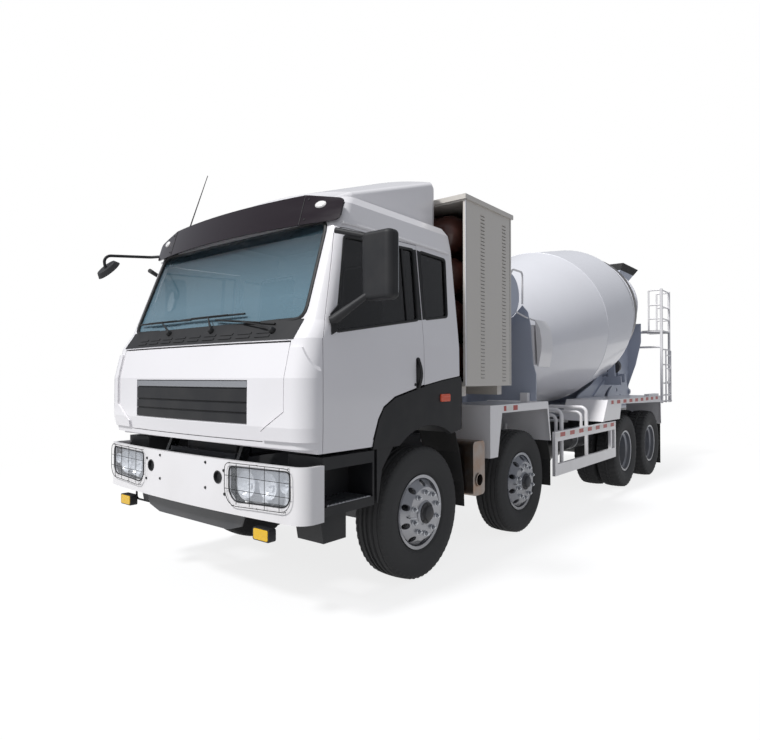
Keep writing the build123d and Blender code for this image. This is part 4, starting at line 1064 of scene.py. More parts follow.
# --------------------------------------------------------------------------- CAD finishes
@dataclass
class Coats:
    """Which finish each CAD node gets, by the start of its name."""

    by_look: dict[Look, tuple[str, ...]] = field(default_factory=lambda: {
        Look.WHITE: ("cab_shell", "door", "front_lid", "roof_fairing"),
        Look.BODY_WHITE: ("discharge_chute", "front_bumper", "ladder", "mudguards", "side_guards"),
        Look.DRUM: ("drum",),
        Look.CHASSIS: ("air_tanks", "chassis_frame", "running_gear"),
        Look.PEDESTAL: ("chute_swivel", "discharge_hood", "feed_hopper", "front_pedestal", "rear_pedestal",
                        "subframe"),
        Look.CABINET: ("gas_cabinet",),
        Look.CYLINDER: ("gas_cylinders",),
        Look.WHEEL_BRIGHT: ("wheel_1",),
        Look.WHEEL: ("wheel",),
        Look.CASTING: ("drum_drive", "knuckle", "power_train", "roller"),
        Look.PLASTIC: ("cab_arches", "cab_steps", "front_mirror", "mirror", "steering_wheel"),
        Look.INTERIOR: ("dashboard",),
        Look.FLAP: ("mud_flaps",),
        Look.TYRE: ("tyre",),
        Look.STAINLESS: ("exhaust_silencer",),
        Look.SCREEN: ("windscreen",),
        Look.VISOR: ("sun_visor",),
        Look.LENS: ("lamps",),
        Look.CLOTH: ("seats",),
    })

    def dress(self, nodes: dict[str, bpy.types.Object]) -> None:
        """Give every CAD node the finish whose start of a name is the longest that fits.

        Args:
            nodes: the CAD objects by node name.
        """
        by_start = {start: look for look, starts in self.by_look.items() for start in starts}
        for name, node in nodes.items():
            start = max((s for s in by_start if name.startswith(s)), key=len)
            node.data.materials.clear()
            node.data.materials.append(by_start[start].material())


# --------------------------------------------------------------------------- tyres and wheels
@dataclass(frozen=True)
class Cutting:
    """How a tyre's crown is cut: spans in millimetres out from its middle, and turns of a pitch."""

    grooves: tuple[tuple[float, float], ...]
    crossing: tuple[float, float]
    crossing_depth: float
    pitches: int
    slant: float
    edge: float = 0.6
    crossing_turn: float = 0.4


class Tread(Enum):
    """The two treads: ribs for the steered wheels, and lugs for the driven ones."""

    RIBS = Cutting(((92, 96), (43, 55), (4, 15)), (97, 133), 0.35, 56, 0.0)
    LUGS = Cutting(((14, 20),), (26, 147), 1.0, 42, 0.35)


@dataclass
class Tyre:
    """One truck tyre: a section swept round, its radius cut down where grooves run."""

    groove: float = mm(14)
    shoulder_mm: float = 534
    crown_rise_mm: float = 8
    crown_half_mm: float = 115
    cut_from: float = mm(470)
    cut_fade: float = mm(45)
    shares: tuple[float, ...] = (0.0, 0.04, 0.38, 0.42, 0.7)

    def section(self) -> Array:
        """Half section from the bead out over the side to the crown's middle.

        The crown's height falls off with the square of the distance out.

        Returns:
            Rows of distance out and radius.
        """
        side = [(107, 289), (107, 303), (117, 311), (124, 326), (128, 329), (131, 341), (141, 372),
                (148, 405), (150, 430), (149, 450), (146, 470), (145, 476), (142, 492), (139, 508),
                (131, 523), (120, self.shoulder_mm)]
        crown = np.array([108, 97, 94.5, 91, 82, 70, 58, 55.5, 45, 42.5, 32, 20, 16, 13.5, 5])
        rise = self.shoulder_mm + self.crown_rise_mm * (1 - (crown / self.crown_half_mm) ** 2)
        return mm_rows(np.concatenate([side, np.stack([crown, rise], 1)]))

    def cut(self, out: Array, turn: Array, cutting: Cutting) -> Array:
        """How deep the crown is cut at each distance out and share of a pitch.

        Grooves run all round at fixed distances out, and short cuts cross between them over the
        first part of each pitch.

        Args:
            out: the distances out, in metres.
            turn: the shares of a pitch.
            cutting: the tread's spans.

        Returns:
            The depths, as shares of the groove's depth.
        """
        out_mm = np.abs(out) * 1000
        grooves = np.zeros_like(out_mm)
        for low, high in cutting.grooves:
            inside = (out_mm >= low - cutting.edge) & (out_mm <= high + cutting.edge)
            grooves = np.maximum(grooves, inside.astype(float))
        low, high = cutting.crossing
        crossed = (turn < cutting.crossing_turn) & (out_mm > low) & (out_mm < high)
        return np.maximum(grooves, crossed * cutting.crossing_depth)

    def form(self, centre: Sequence[float], tread: Tread) -> Form:
        """Sweep the section round: x and z follow the radius at each angle, y the distance out.

        Args:
            centre: the tyre's middle.
            tread: how its crown is cut.

        Returns:
            The form.
        """
        cutting = tread.value
        half = self.section()
        section = np.concatenate([half, half[::-1] * (-1, 1)])
        turns = (np.arange(cutting.pitches)[:, None] + self.shares).ravel() / cutting.pitches
        share = np.tile(self.shares, cutting.pitches)
        out = np.broadcast_to(section[:, :1], (len(section), len(turns)))
        depth = self.cut(out, np.broadcast_to(share, out.shape), cutting) * self.groove
        fade = np.clip((section[:, 1] - self.cut_from) / self.cut_fade, 0, 1)
        radius = section[:, 1:] - depth * fade[:, None]
        angle = TAU * turns[None] + cutting.slant * np.abs(out)
        points = spots(radius * np.cos(angle), out, radius * np.sin(angle))
        return grid(points + np.array(centre), close_rows=True, close_columns=True)


@dataclass
class WheelSet:
    """Tyres, nuts, caps and valves of the eight wheel bodies."""

    nut_ring: float = mm(167.5)
    nut_count: int = 10
    nut_radius: float = mm(18.5)
    disc_out: float = mm(165)
    twin_disc_in: float = mm(151)
    middle: float = mm(542)
    steer_y: float = mm(1010)
    twin_ys: tuple[float, float] = (mm(1085), mm(755))
    hub_face: float = mm(177)
    twin_hub_face: float = mm(1055)
    cap_radius: float = mm(86)
    cap_bolts: int = 8
    hand_hole: float = mm(236)

    @staticmethod
    def spokes(count: int, start: float = 0.0) -> Array:
        """Directions round the wheel's axis, (cos t, 0, sin t), from a start in shares of a step."""
        t = (np.arange(count) + start) / count * TAU
        return spots(np.cos(t), 0.0, np.sin(t))

    def nut(self) -> Form:
        """A wheel nut on its stud: hexagon, washer flange and stud end, along +Z from its seat.

        Returns:
            The form, at the origin.
        """
        hexagon = self.spokes(6)[:, [0, 2]] * self.nut_radius
        body = plate(hexagon, level, (mm(5), mm(27)))
        flange = lathe(mm_rows([(0, 1), (0, 23), (4, 23), (7, 19), (7, 1)]), ORIGIN, UP, 16)
        stud = lathe(mm_rows([(20, 1), (20, 11), (35, 11), (38, 8), (38, 1)]), ORIGIN, UP, 12)
        return Form.join([body, flange, stud])

    def nut_frames(self, x: float, y: float, side: Side) -> Array:
        """Frames round the wheel's axis, each with its third axis pointing out.

        Args:
            x: the axle's place along the truck.
            y: the disc's face.
            side: the truck's side.

        Returns:
            The stack of frames.
        """
        radial = self.spokes(self.nut_count, 0.5)
        outward = np.broadcast_to((0.0, float(side.value), 0.0), radial.shape)
        third = np.cross(outward, radial)
        place = radial * self.nut_ring + (x, y, self.middle)
        return np.stack([radial, third, outward, place], 2)

    def cap(self, x: float, y: float, side: Side) -> Form:
        """A domed hub cap with a ring of small bolt heads.

        Args:
            x: the axle's place along the truck.
            y: the hub's face.
            side: the truck's side.

        Returns:
            The form.
        """
        radius, out = self.cap_radius, (0, side.value, 0)
        profile = [(0, mm(1)), (0, radius), (mm(8), radius), (mm(12), radius - mm(6)),
                   (mm(14), radius * 0.72), (mm(34), radius * 0.66), (mm(40), radius * 0.55),
                   (mm(42), mm(1))]
        dome = lathe(profile, (x, y, self.middle), out, 40)
        places = self.spokes(self.cap_bolts) * radius * 0.86 + (x, y + side.value * mm(8), self.middle)
        head = lathe(mm_rows([(0, 1), (0, 7), (8, 7), (9, 5), (9, 1)]), ORIGIN, out, 6)
        return Form.join([dome, head.copies(places)])

    def valve(self, x: float, y: float, side: Side) -> Form:
        """A bent valve stem through a hand hole.

        Args:
            x: the axle's place along the truck.
            y: the stem's root.
            side: the truck's side.

        Returns:
            The form.
        """
        root = np.array([x + self.hand_hole, y, self.middle])
        line = [root, root + (0, side.value * mm(45), 0), root + (-mm(40), side.value * mm(60), 0)]
        return tube(rounded(line, mm(25)), mm(5), 8)

    def wheel(self, number: str, side: Side) -> None:
        """Make one body's tyre forms, nuts, cap and valve.

        Args:
            number: the axle's number, from the front.
            side: the truck's side.
        """
        end = f"{number}_{side.word}"
        body, node = f"wheel_{end}", f"tyre_{end}"
        low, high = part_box(node)
        x = (low.x + high.x) / 2
        if number in "12":
            ys, tread, look = (self.steer_y,), Tread.RIBS, Look.CASTING
            face, hub = self.steer_y + self.disc_out, self.steer_y + self.hub_face
        else:
            ys, tread, look = self.twin_ys, Tread.LUGS, Look.WHEEL
            face, hub = self.twin_ys[0] - self.twin_disc_in, self.twin_hub_face
        forms = [Tyre().form((x, side.value * y, self.middle), tread) for y in ys]
        tyre = make_piece(f"tyre_cover_{end}", Form.join(forms), Look.TYRE, body, crease=40)
        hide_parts(node)
        nuts = self.nut().placed(self.nut_frames(x, side.value * face, side))
        make_piece(f"wheel_nuts_{end}", nuts, Look.ZINC, body, crease=30)
        make_piece(f"hub_cap_{end}", self.cap(x, side.value * hub, side), look, body)
        stem = self.valve(x, side.value * (face - mm(10)), side)
        make_piece(f"valve_{end}", stem, Look.ZINC, body)

    def build(self) -> None:
        """Dress the wheels of the four axles."""
        for number in "1234":
            for side in Side:
                self.wheel(number, side)


# --------------------------------------------------------------------------- cab
@dataclass
class CabGlass:
    """Side windows with their seals, the black films between them and the windscreen's seal.

    Outlines are places along and up a side wall, or across and up the front. Depths are measured
    out from the cab's surface.
    """

    door_window: Array = rows_field([(4829, 1948), (3862, 2100), (3850, 2672), (4674, 2629)])
    quarter_window: Array = rows_field([(3770, 2112), (3428, 2160), (3385, 2664), (3762, 2672)])
    screen: Array = rows_field([(-1085, 2030), (1085, 2030), (1040, 2750), (-1040, 2750)])
    door_film: Array = rows_field([(3862, 2100), (3819, 2104), (3819, 2676), (3850, 2672)])
    cab_film: Array = rows_field([(3804, 2107), (3770, 2112), (3762, 2672), (3804, 2676)])
    door_corner: Array = rows_field([(4876, 1926), (4829, 1948), (4786, 2140), (4872, 2066)])
    bar: Array = rows_field([(4009, 2080), (3981, 2080), (3981, 2664), (4009, 2664)])
    pane_depths: tuple[float, float] = (-mm(16), -mm(21))
    bar_depths: tuple[float, float] = (-mm(6), -mm(22))
    band_depths: tuple[float, float] = (-mm(21), -mm(24))
    band_half: float = mm(1035)
    band_heights: tuple[float, float] = (mm(2660), mm(2735))

    def film(self, corners: Array, side: Side, out: float = mm(2)) -> Form:
        """A thin black piece laid on the side wall."""
        return CAB.sheet(corners, (8, 3), (out, -mm(2)), side)

    def seal(self, corners: Array, side: Side) -> Form:
        """A rubber bead carried round a window's edge on the wall's surface."""
        flat = loop(corners, mm(30))
        return tube(CAB.side(flat[:, 0], flat[:, 1], -mm(7), side), mm(12), 8, (0, 1, 0.05), closed=True)

    def window(self, name: str, corners: Array, side: Side, body: str) -> None:
        """Make a pane that follows the side wall a little inside it, and its seal.

        Args:
            name: the window's name.
            corners: its outline.
            side: the truck's side.
            body: the body that carries it.
        """
        pane = CAB.sheet(corners, (12, 12), self.pane_depths, side)
        make_piece(f"{name}_glass_{side.word}", pane, Look.WINDOW, body)
        bead = self.seal(corners, side)
        make_piece(f"{name}_seal_{side.word}", bead, Look.SEAL, body)

    def build(self) -> None:
        """Make the panes, the seals and the films."""
        for side in Side:
            door = f"door_{side.word}"
            self.window("door", self.door_window, side, door)
            self.window("quarter", self.quarter_window, side, "cab")
            trims = [self.film(self.door_film, side), self.film(self.door_corner, side, mm(9)),
                     CAB.sheet(self.bar, (8, 3), self.bar_depths, side)]
            make_piece(f"door_window_trim_{side.word}", Form.join(trims), Look.SEAL, door)
            pillar = self.film(self.cab_film, side)
            make_piece(f"pillar_film_{side.word}", pillar, Look.SEAL, "cab")
        flat = loop(self.screen, mm(90))
        bead = tube(CAB.front(flat[:, 0], flat[:, 1], -mm(6)), mm(17), 8, (1, 0.05, 0), closed=True)
        make_piece("screen_seal", bead, Look.SEAL, "cab")
        # The dark band over the top of the windscreen is painted shade, the visor's shadow on the glass.
        across = np.linspace(-self.band_half, self.band_half, 31)
        band = CAB.strip(across, self.band_heights, self.band_depths)
        make_piece("screen_shade_band", band, Look.SHADE, "cab")


@dataclass(frozen=True)
class Wiper:
    """One wiper: its pivot and its blade's two ends, each as a place (y, z) on the front."""

    pivot: tuple[float, float]
    right_end: tuple[float, float]
    left_end: tuple[float, float]


@dataclass
class CabTrim:
    """Wipers, cowl, handles, gutters, markers, mirror glass and the aerial."""

    wipers: tuple[Wiper, ...] = (
        Wiper((-0.410, 2.000), (-1.010, 2.110), (-0.160, 2.098)),
        Wiper((0.180, 1.992), (-0.310, 2.104), (0.500, 2.104)),
        Wiper((0.860, 1.962), (0.180, 2.076), (0.850, 2.010)),
    )
    cowl_half: float = 1.085
    cowl_heights: tuple[float, ...] = tuple(mm(1896, 1935, 1990, 2034))
    louvre_lows: tuple[float, ...] = tuple(mm(1920, 1948))
    louvre_reach: float = 0.78
    louvre_half: float = 0.07
    louvre_height: float = mm(14)
    handle_x: float = mm(3897)
    handle_z: tuple[float, float] = (mm(1564), mm(1784))
    gutter_x: tuple[float, float] = (mm(3345), mm(4690))
    gutter_z: float = mm(2722)
    visor_foot: tuple[float, float] = (mm(4868), mm(2725))
    visor_half: float = mm(1170)
    visor_seam: float = mm(832)
    visor_z: tuple[float, float] = (mm(2736), mm(2962))
    screw_heights: tuple[float, ...] = tuple(mm(2770, 2925))
    roof_marker: tuple[float, float] = (mm(985), mm(2868))
    arch_marker: tuple[float, float] = (mm(3514), mm(1475))
    mirror_out: float = mm(1507)
    front_mirror: tuple[float, ...] = tuple(mm(5078, -1400, 2632))
    aerial_foot: tuple[float, float, float] = (mm(4640), -0.78, mm(2990))
    aerial_tip: tuple[float, float, float] = (mm(4700), -0.41, mm(3383))

    def cowl(self) -> Form:
        """The black panel under the windscreen, lofted over the crowned front."""
        across = np.linspace(-self.cowl_half, self.cowl_half, 41)
        return CAB.strip(across, self.cowl_heights, (mm(5), -mm(3)))

    def louvres(self) -> Form:
        """Two rows of raised ribs across the cowl, each a slab that follows the crown.

        Returns:
            The form of all of them.
        """
        slabs = []
        for low in self.louvre_lows:
            for middle in np.linspace(-self.louvre_reach, self.louvre_reach, 9):
                across = np.linspace(middle - self.louvre_half, middle + self.louvre_half, 7)
                slabs.append(CAB.strip(across, (low, low + self.louvre_height), (mm(10), mm(4))))
        return Form.join(slabs)

    def wiper(self, wiper: Wiper) -> Form:
        """One parked wiper: pivot, tapering arm bent over the glass, and its blade and spine.

        Args:
            wiper: its places on the front.

        Returns:
            The form.
        """
        (py, pz), ends = wiper.pivot, np.array([wiper.right_end, wiper.left_end])
        middle = ends.mean(0)
        root = CAB.front(py, pz, mm(12))
        elbow = CAB.front(0.7 * py + 0.3 * middle[0], 0.5 * (pz + middle[1]), mm(44))
        hold = CAB.front(middle[0], middle[1], mm(34))
        arm_path = rounded([root, elbow, hold], mm(60))
        arm = tube(arm_path, np.linspace(mm(11), mm(5), len(arm_path)), 8)
        share = np.linspace(0, 1, 24)
        y, z = (ends[0] + (ends[1] - ends[0]) * share[:, None]).T
        blade = tube(CAB.front(y, z, mm(14)), mm(8), 6)
        spine = tube(CAB.front(y[5:19], z[5:19] + mm(3), mm(30)), mm(5), 6)
        boss = mm_rows([(-20, 1), (-20, 24), (14, 22), (26, 14), (28, 1)])
        return Form.join([arm, blade, spine, lathe(boss, root, (0.9, 0, 0.42), 20)])

    def handle(self, side: Side) -> Form:
        """An upright pull handle that bulges out by a half sine, in its black bowl over the lock.

        Args:
            side: the door's side.

        Returns:
            The form.
        """
        low, high = self.handle_z
        z = np.linspace(low, high, 14)
        bulge = np.sin(np.linspace(0, np.pi, 14)) * mm(26) + mm(6)
        path = CAB.side(np.full(14, self.handle_x), z, 0.0, side)
        path[:, 1] += side.value * bulge
        grip = tube(path, mm(13), 8, (1, 0.1, 0.1))
        outline = rounded_outline(mm(28), (high - low) / 2 + mm(18), mm(24))
        outline = outline + (self.handle_x, (low + high) / 2)
        bowl = plate(outline, lambda a, b, depth: CAB.side(a, b, depth, side), (-mm(8), mm(3)))
        lock = lathe(mm_rows([(-8, 1), (-8, 11), (4, 11), (5, 8), (5, 1)]),
                     CAB.side(self.handle_x + mm(42), low + mm(25), 0.0, side), (0, side.value, 0), 16)
        return Form.join([grip, bowl, lock])

    def gutter(self, side: Side) -> Form:
        """The drip rail over the door and the quarter window, raised by a half sine in its middle.

        Args:
            side: the cab's side.

        Returns:
            The form.
        """
        rear, front = self.gutter_x
        x = np.linspace(front, rear, 30)
        z = self.gutter_z + mm(6) * np.sin((x - rear) / (front - rear) * np.pi)
        return tube(CAB.side(x, z, mm(6), side), mm(10), 8)

    def visor(self, y: Any, z: Any, out: float) -> Array:
        """Points on the visor's face: x falls off with y squared and leans back with height.

        Args:
            y: places across.
            z: heights.
            out: a distance ahead of the face.

        Returns:
            The points.
        """
        x_foot, z_foot = self.visor_foot
        x = x_foot - mm(140) * (y / self.visor_half) ** 2 - 0.31 * (z - z_foot) + out
        return spots(x, y, z)

    def marker(self, side: Side) -> Form:
        """The oval marker lamp near the end of the visor: a flattened dome.

        Args:
            side: the cab's side.

        Returns:
            The form.
        """
        across, height = self.roof_marker
        spot = self.visor(side.value * across, height, 0.0)
        profile = mm_rows([(-8, 1), (-8, 46), (5, 46), (12, 36), (15, 1)])
        dome = lathe(profile, spot, (0.95, side.value * 0.2, 0.2), 28)
        return Form((dome.points - spot) * (1, 1, 0.6) + spot, dome.faces)

    def visor_seams(self) -> Form:
        """The two joints between the visor's middle and its end sections, with their screws.

        Returns:
            The form of all of them.
        """
        forms = []
        for y in (-self.visor_seam, self.visor_seam):
            z = np.linspace(*self.visor_z, 9)
            forms.append(tube(self.visor(np.full(9, y), z, mm(1)), mm(3), 6, (0, 1, 0)))
            for height in self.screw_heights:
                spot = self.visor(y * 1.045, height, 0.0)
                forms.append(lathe(mm_rows([(-2, 1), (-2, 9), (3, 8), (4, 1)]), spot, (1, 0, 0.3), 12))
        return Form.join(forms)

    def mirror_glass(self, side: Side) -> Form:
        """The glass in the mirror head's rear face.

        Args:
            side: the door's side.

        Returns:
            The form.
        """
        x, low = (mm(4700), mm(2150)) if side is Side.LEFT else (mm(4330), mm(2190))
        glass = plate(rounded_outline(mm(104), mm(196), mm(26)), facing, (mm(2), -mm(2)))
        return glass.moved((x - mm(60), side.value * self.mirror_out, low + mm(225)))

    def front_mirror_glass(self) -> Form:
        """The round kerb mirror's domed glass, under its shell.

        Returns:
            The form.
        """
        down = np.array((-0.74, 0.0, -0.68)) / np.hypot(0.74, 0.68)
        profile = mm_rows([(10, 1), (10, 108), (13, 108), (22, 70), (25, 1)])
        return lathe(profile[::-1], self.front_mirror, down, 32)

    def aerial(self) -> Form:
        """The tapering aerial rod on its rubber foot.

        Returns:
            The form.
        """
        path = np.linspace(self.aerial_foot, self.aerial_tip, 12)
        rod = tube(path, np.linspace(mm(6), mm(3), 12), 8)
        foot = lathe(mm_rows([(-30, 1), (-30, 26), (0, 20), (18, 9), (20, 1)]), path[0], UP, 20)
        return Form.join([rod, foot])

    def build(self) -> None:
        """Make the pieces on the cab."""
        cowl = Form.join([self.cowl(), self.louvres()])
        make_piece("cowl_panel", cowl, Look.SEAL, "cab", crease=50)
        for number, wiper in enumerate(self.wipers, 1):
            make_piece(f"wiper_{number}", self.wiper(wiper), Look.SEAL, "cab")
        for side in Side:
            door, word = f"door_{side.word}", side.word
            make_piece(f"door_handle_{word}", self.handle(side), Look.PLASTIC, door)
            make_piece(f"mirror_glass_{word}", self.mirror_glass(side), Look.MIRROR, door)
            make_piece(f"gutter_{word}", self.gutter(side), Look.BODY_WHITE, "cab")
            make_piece(f"roof_marker_{word}", self.marker(side), Look.PEARL, "cab")
            lens = plate(rounded_outline(mm(72), mm(32), mm(14)), sideways,
                         (-side.value * mm(2), side.value * mm(12)))
            lens = lens.moved(CAB.side(*self.arch_marker, 0.0, side))
            make_piece(f"arch_marker_{word}", lens, Look.ORANGE, "cab", bevel_mm=3)
        make_piece("visor_seams", self.visor_seams(), Look.SEAL, "cab")
        make_piece("front_mirror_glass", self.front_mirror_glass(), Look.MIRROR, "cab")
        make_piece("aerial", self.aerial(), Look.SEAL, "cab")


# --------------------------------------------------------------------------- seats
@dataclass(frozen=True)
class Pad:
    """One cushion: its middle, its half sizes, how far its top leans back, and its swell."""

    name: str
    middle: tuple[float, float, float]
    halves: tuple[float, float, float]
    lean: float = 0.0
    swell: float = mm(16)

    @property
    def lies_flat(self) -> bool:
        """Whether it is a seat, thinner in height than in length, and not a back."""
        return self.halves[2] < self.halves[0]


@dataclass
class Seats:
    """The two front seats and the bunk, as padded cushions on their plinths."""

    across: float = mm(570)
    cell: float = mm(24)
    edge: float = mm(36)
    pressure: float = 4
    frames: int = 16
    piping_share: float = 0.55
    bunk_x: tuple[float, float] = (mm(3350), mm(3692))
    bunk_top: float = mm(1812)
    plinth_x: tuple[float, float] = (mm(3925), mm(4215))
    plinth_top: float = mm(1856)

    def pads(self) -> list[Pad]:
        """Every cushion, in place.

        Returns:
            The cushions.
        """
        listed = []
        for side in Side:
            y = side.value * self.across
            listed.append(Pad(f"seat_cushion_{side.word}", (mm(4065), y, mm(1920)), mm(215, 235, 62)))
            listed.append(Pad(f"seat_back_{side.word}", (mm(3796), y, mm(2305)), mm(42, 232, 322), -mm(38)))
        listed.append(Pad("bunk_cushion", (mm(3522), 0.0, mm(1855)), mm(165, 1095, 40)))
        return listed

    def cube(self, counts: Array) -> Form:
        """The surface of a cube from -1 to 1, as six grids.

        Args:
            counts: how many cells it has along X, Y and Z.

        Returns:
            The form.
        """
        forms = []
        for axis in range(3):
            a, b = (axis + 1) % 3, (axis + 2) % 3
            u = np.linspace(-1, 1, counts[a] + 1)[:, None]
            v = np.linspace(-1, 1, counts[b] + 1)[None]
            for sign in (-1, 1):
                face = np.zeros((*np.broadcast_shapes(u.shape, v.shape), 3))
                face[..., a], face[..., b], face[..., axis] = u, v, sign
                forms.append(grid(face if sign > 0 else face[::-1]))
        return Form.join(forms)

    def cushion(self, pad: Pad) -> Form:
        """A crowned closed form: a cube's grid pushed onto a box with round edges.

        A point (a, b, c) of the cube's surface goes to the half sizes times a blend of the cube and
        the sphere, so that the sides pull in between the corners; the lean shifts x with height.

        Args:
            pad: the cushion.

        Returns:
            The form.
        """
        sizes = np.array(pad.halves)
        whole = self.cube(np.maximum(4, np.round(2 * sizes / self.cell).astype(int)))
        p = whole.points
        round_in = np.minimum(self.edge / sizes, 0.8)
        edge = np.maximum(np.abs(p) - (1 - round_in), 0) / round_in
        length = np.maximum(np.linalg.norm(edge, axis=1, keepdims=True), 1e-9)
        pulled = np.sign(p) * (np.minimum(np.abs(p), 1 - round_in)
                               + round_in * edge / length * np.minimum(length, 1))
        placed = pulled * sizes
        placed[:, 0] += pad.lean * pulled[:, 2]
        return Form(placed + np.array(pad.middle), whole.faces)

    def inflate(self, piece: bpy.types.Object, pad: Pad) -> None:
        """Swell the cover with air under cloth simulation, and cap how far each point moves.

        Args:
            piece: the cushion's object.
            pad: its sizes.
        """
        mesh = piece.data
        start = np.empty(len(mesh.vertices) * 3)
        mesh.vertices.foreach_get("co", start)
        start = start.reshape(-1, 3)
        cloth = piece.modifiers.new("air", "CLOTH")
        cloth.settings.use_pressure = True
        cloth.settings.uniform_pressure_force = self.pressure
        cloth.settings.effector_weights.gravity = 0
        scene = bpy.context.scene
        scene.frame_start, scene.frame_end = 1, self.frames
        for frame in range(1, self.frames + 1):
            scene.frame_set(frame)
        shaped = piece.evaluated_get(bpy.context.evaluated_depsgraph_get())
        end = np.empty_like(start)
        shaped.data.vertices.foreach_get("co", end.reshape(-1))
        piece.modifiers.remove(cloth)
        scene.frame_set(1)
        shift = end - start
        length = np.maximum(np.linalg.norm(shift, axis=1, keepdims=True), 1e-9)
        capped = start + shift / length * np.minimum(length, pad.swell)
        mesh.vertices.foreach_set("co", capped.ravel())
        mesh.update()

    def seam(self, pad: Pad) -> Form:
        """The piping sewn round a cushion: a rope round its widest outline, off its middle.

        Args:
            pad: the cushion.

        Returns:
            The form.
        """
        x, y, z = pad.halves
        first, second = (x, y) if pad.lies_flat else (y, z)
        a, b = rounded_outline(first + mm(4), second + mm(4), mm(30), 6).T
        if pad.lies_flat:
            path, up = spots(a, b, z * self.piping_share), (0.1, 0.2, 0.97)
        else:
            path, up = spots(x * self.piping_share + pad.lean * b / z, a, b), (0.97, 0.1, 0.2)
        return tube(path + np.array(pad.middle), mm(5), 6, up, closed=True)

    def floor(self, x: float) -> float:
        """The height just over the cab's floor, which falls evenly towards the front."""
        return mm(1724) - (x - mm(3200)) * 214 / 1130 + mm(2)

    def plinths(self) -> Form:
        """The dark plinths under the bunk and the two seats.

        Returns:
            The form.
        """
        rear, front = self.bunk_x
        boxes = [brick((rear, -mm(1110), self.floor(rear)), (front, mm(1110), self.bunk_top))]
        rear, front = self.plinth_x
        for side in Side:
            y = side.value * self.across
            boxes.append(brick((rear, y - mm(165), self.floor(rear)), (front, y + mm(165), self.plinth_top)))
        return Form.join(boxes)

    def build(self) -> None:
        """Make the cushions, their piping and the plinths, which stand for the CAD seats."""
        pieces = []
        for pad in self.pads():
            piece = make_piece(pad.name, self.cushion(pad), Look.CLOTH, "cab", crease=80)
            self.inflate(piece, pad)
            finer = piece.modifiers.new("finer", "SUBSURF")
            finer.levels = finer.render_levels = 1
            pieces.append(piece)
            make_piece(f"{pad.name}_piping", self.seam(pad), Look.SEAL, "cab")
        plinths = make_piece("seat_plinths", self.plinths(), Look.PLASTIC, "cab",
                             bevel_mm=12)
        for piece in (plinths, *pieces):
            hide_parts("seats")


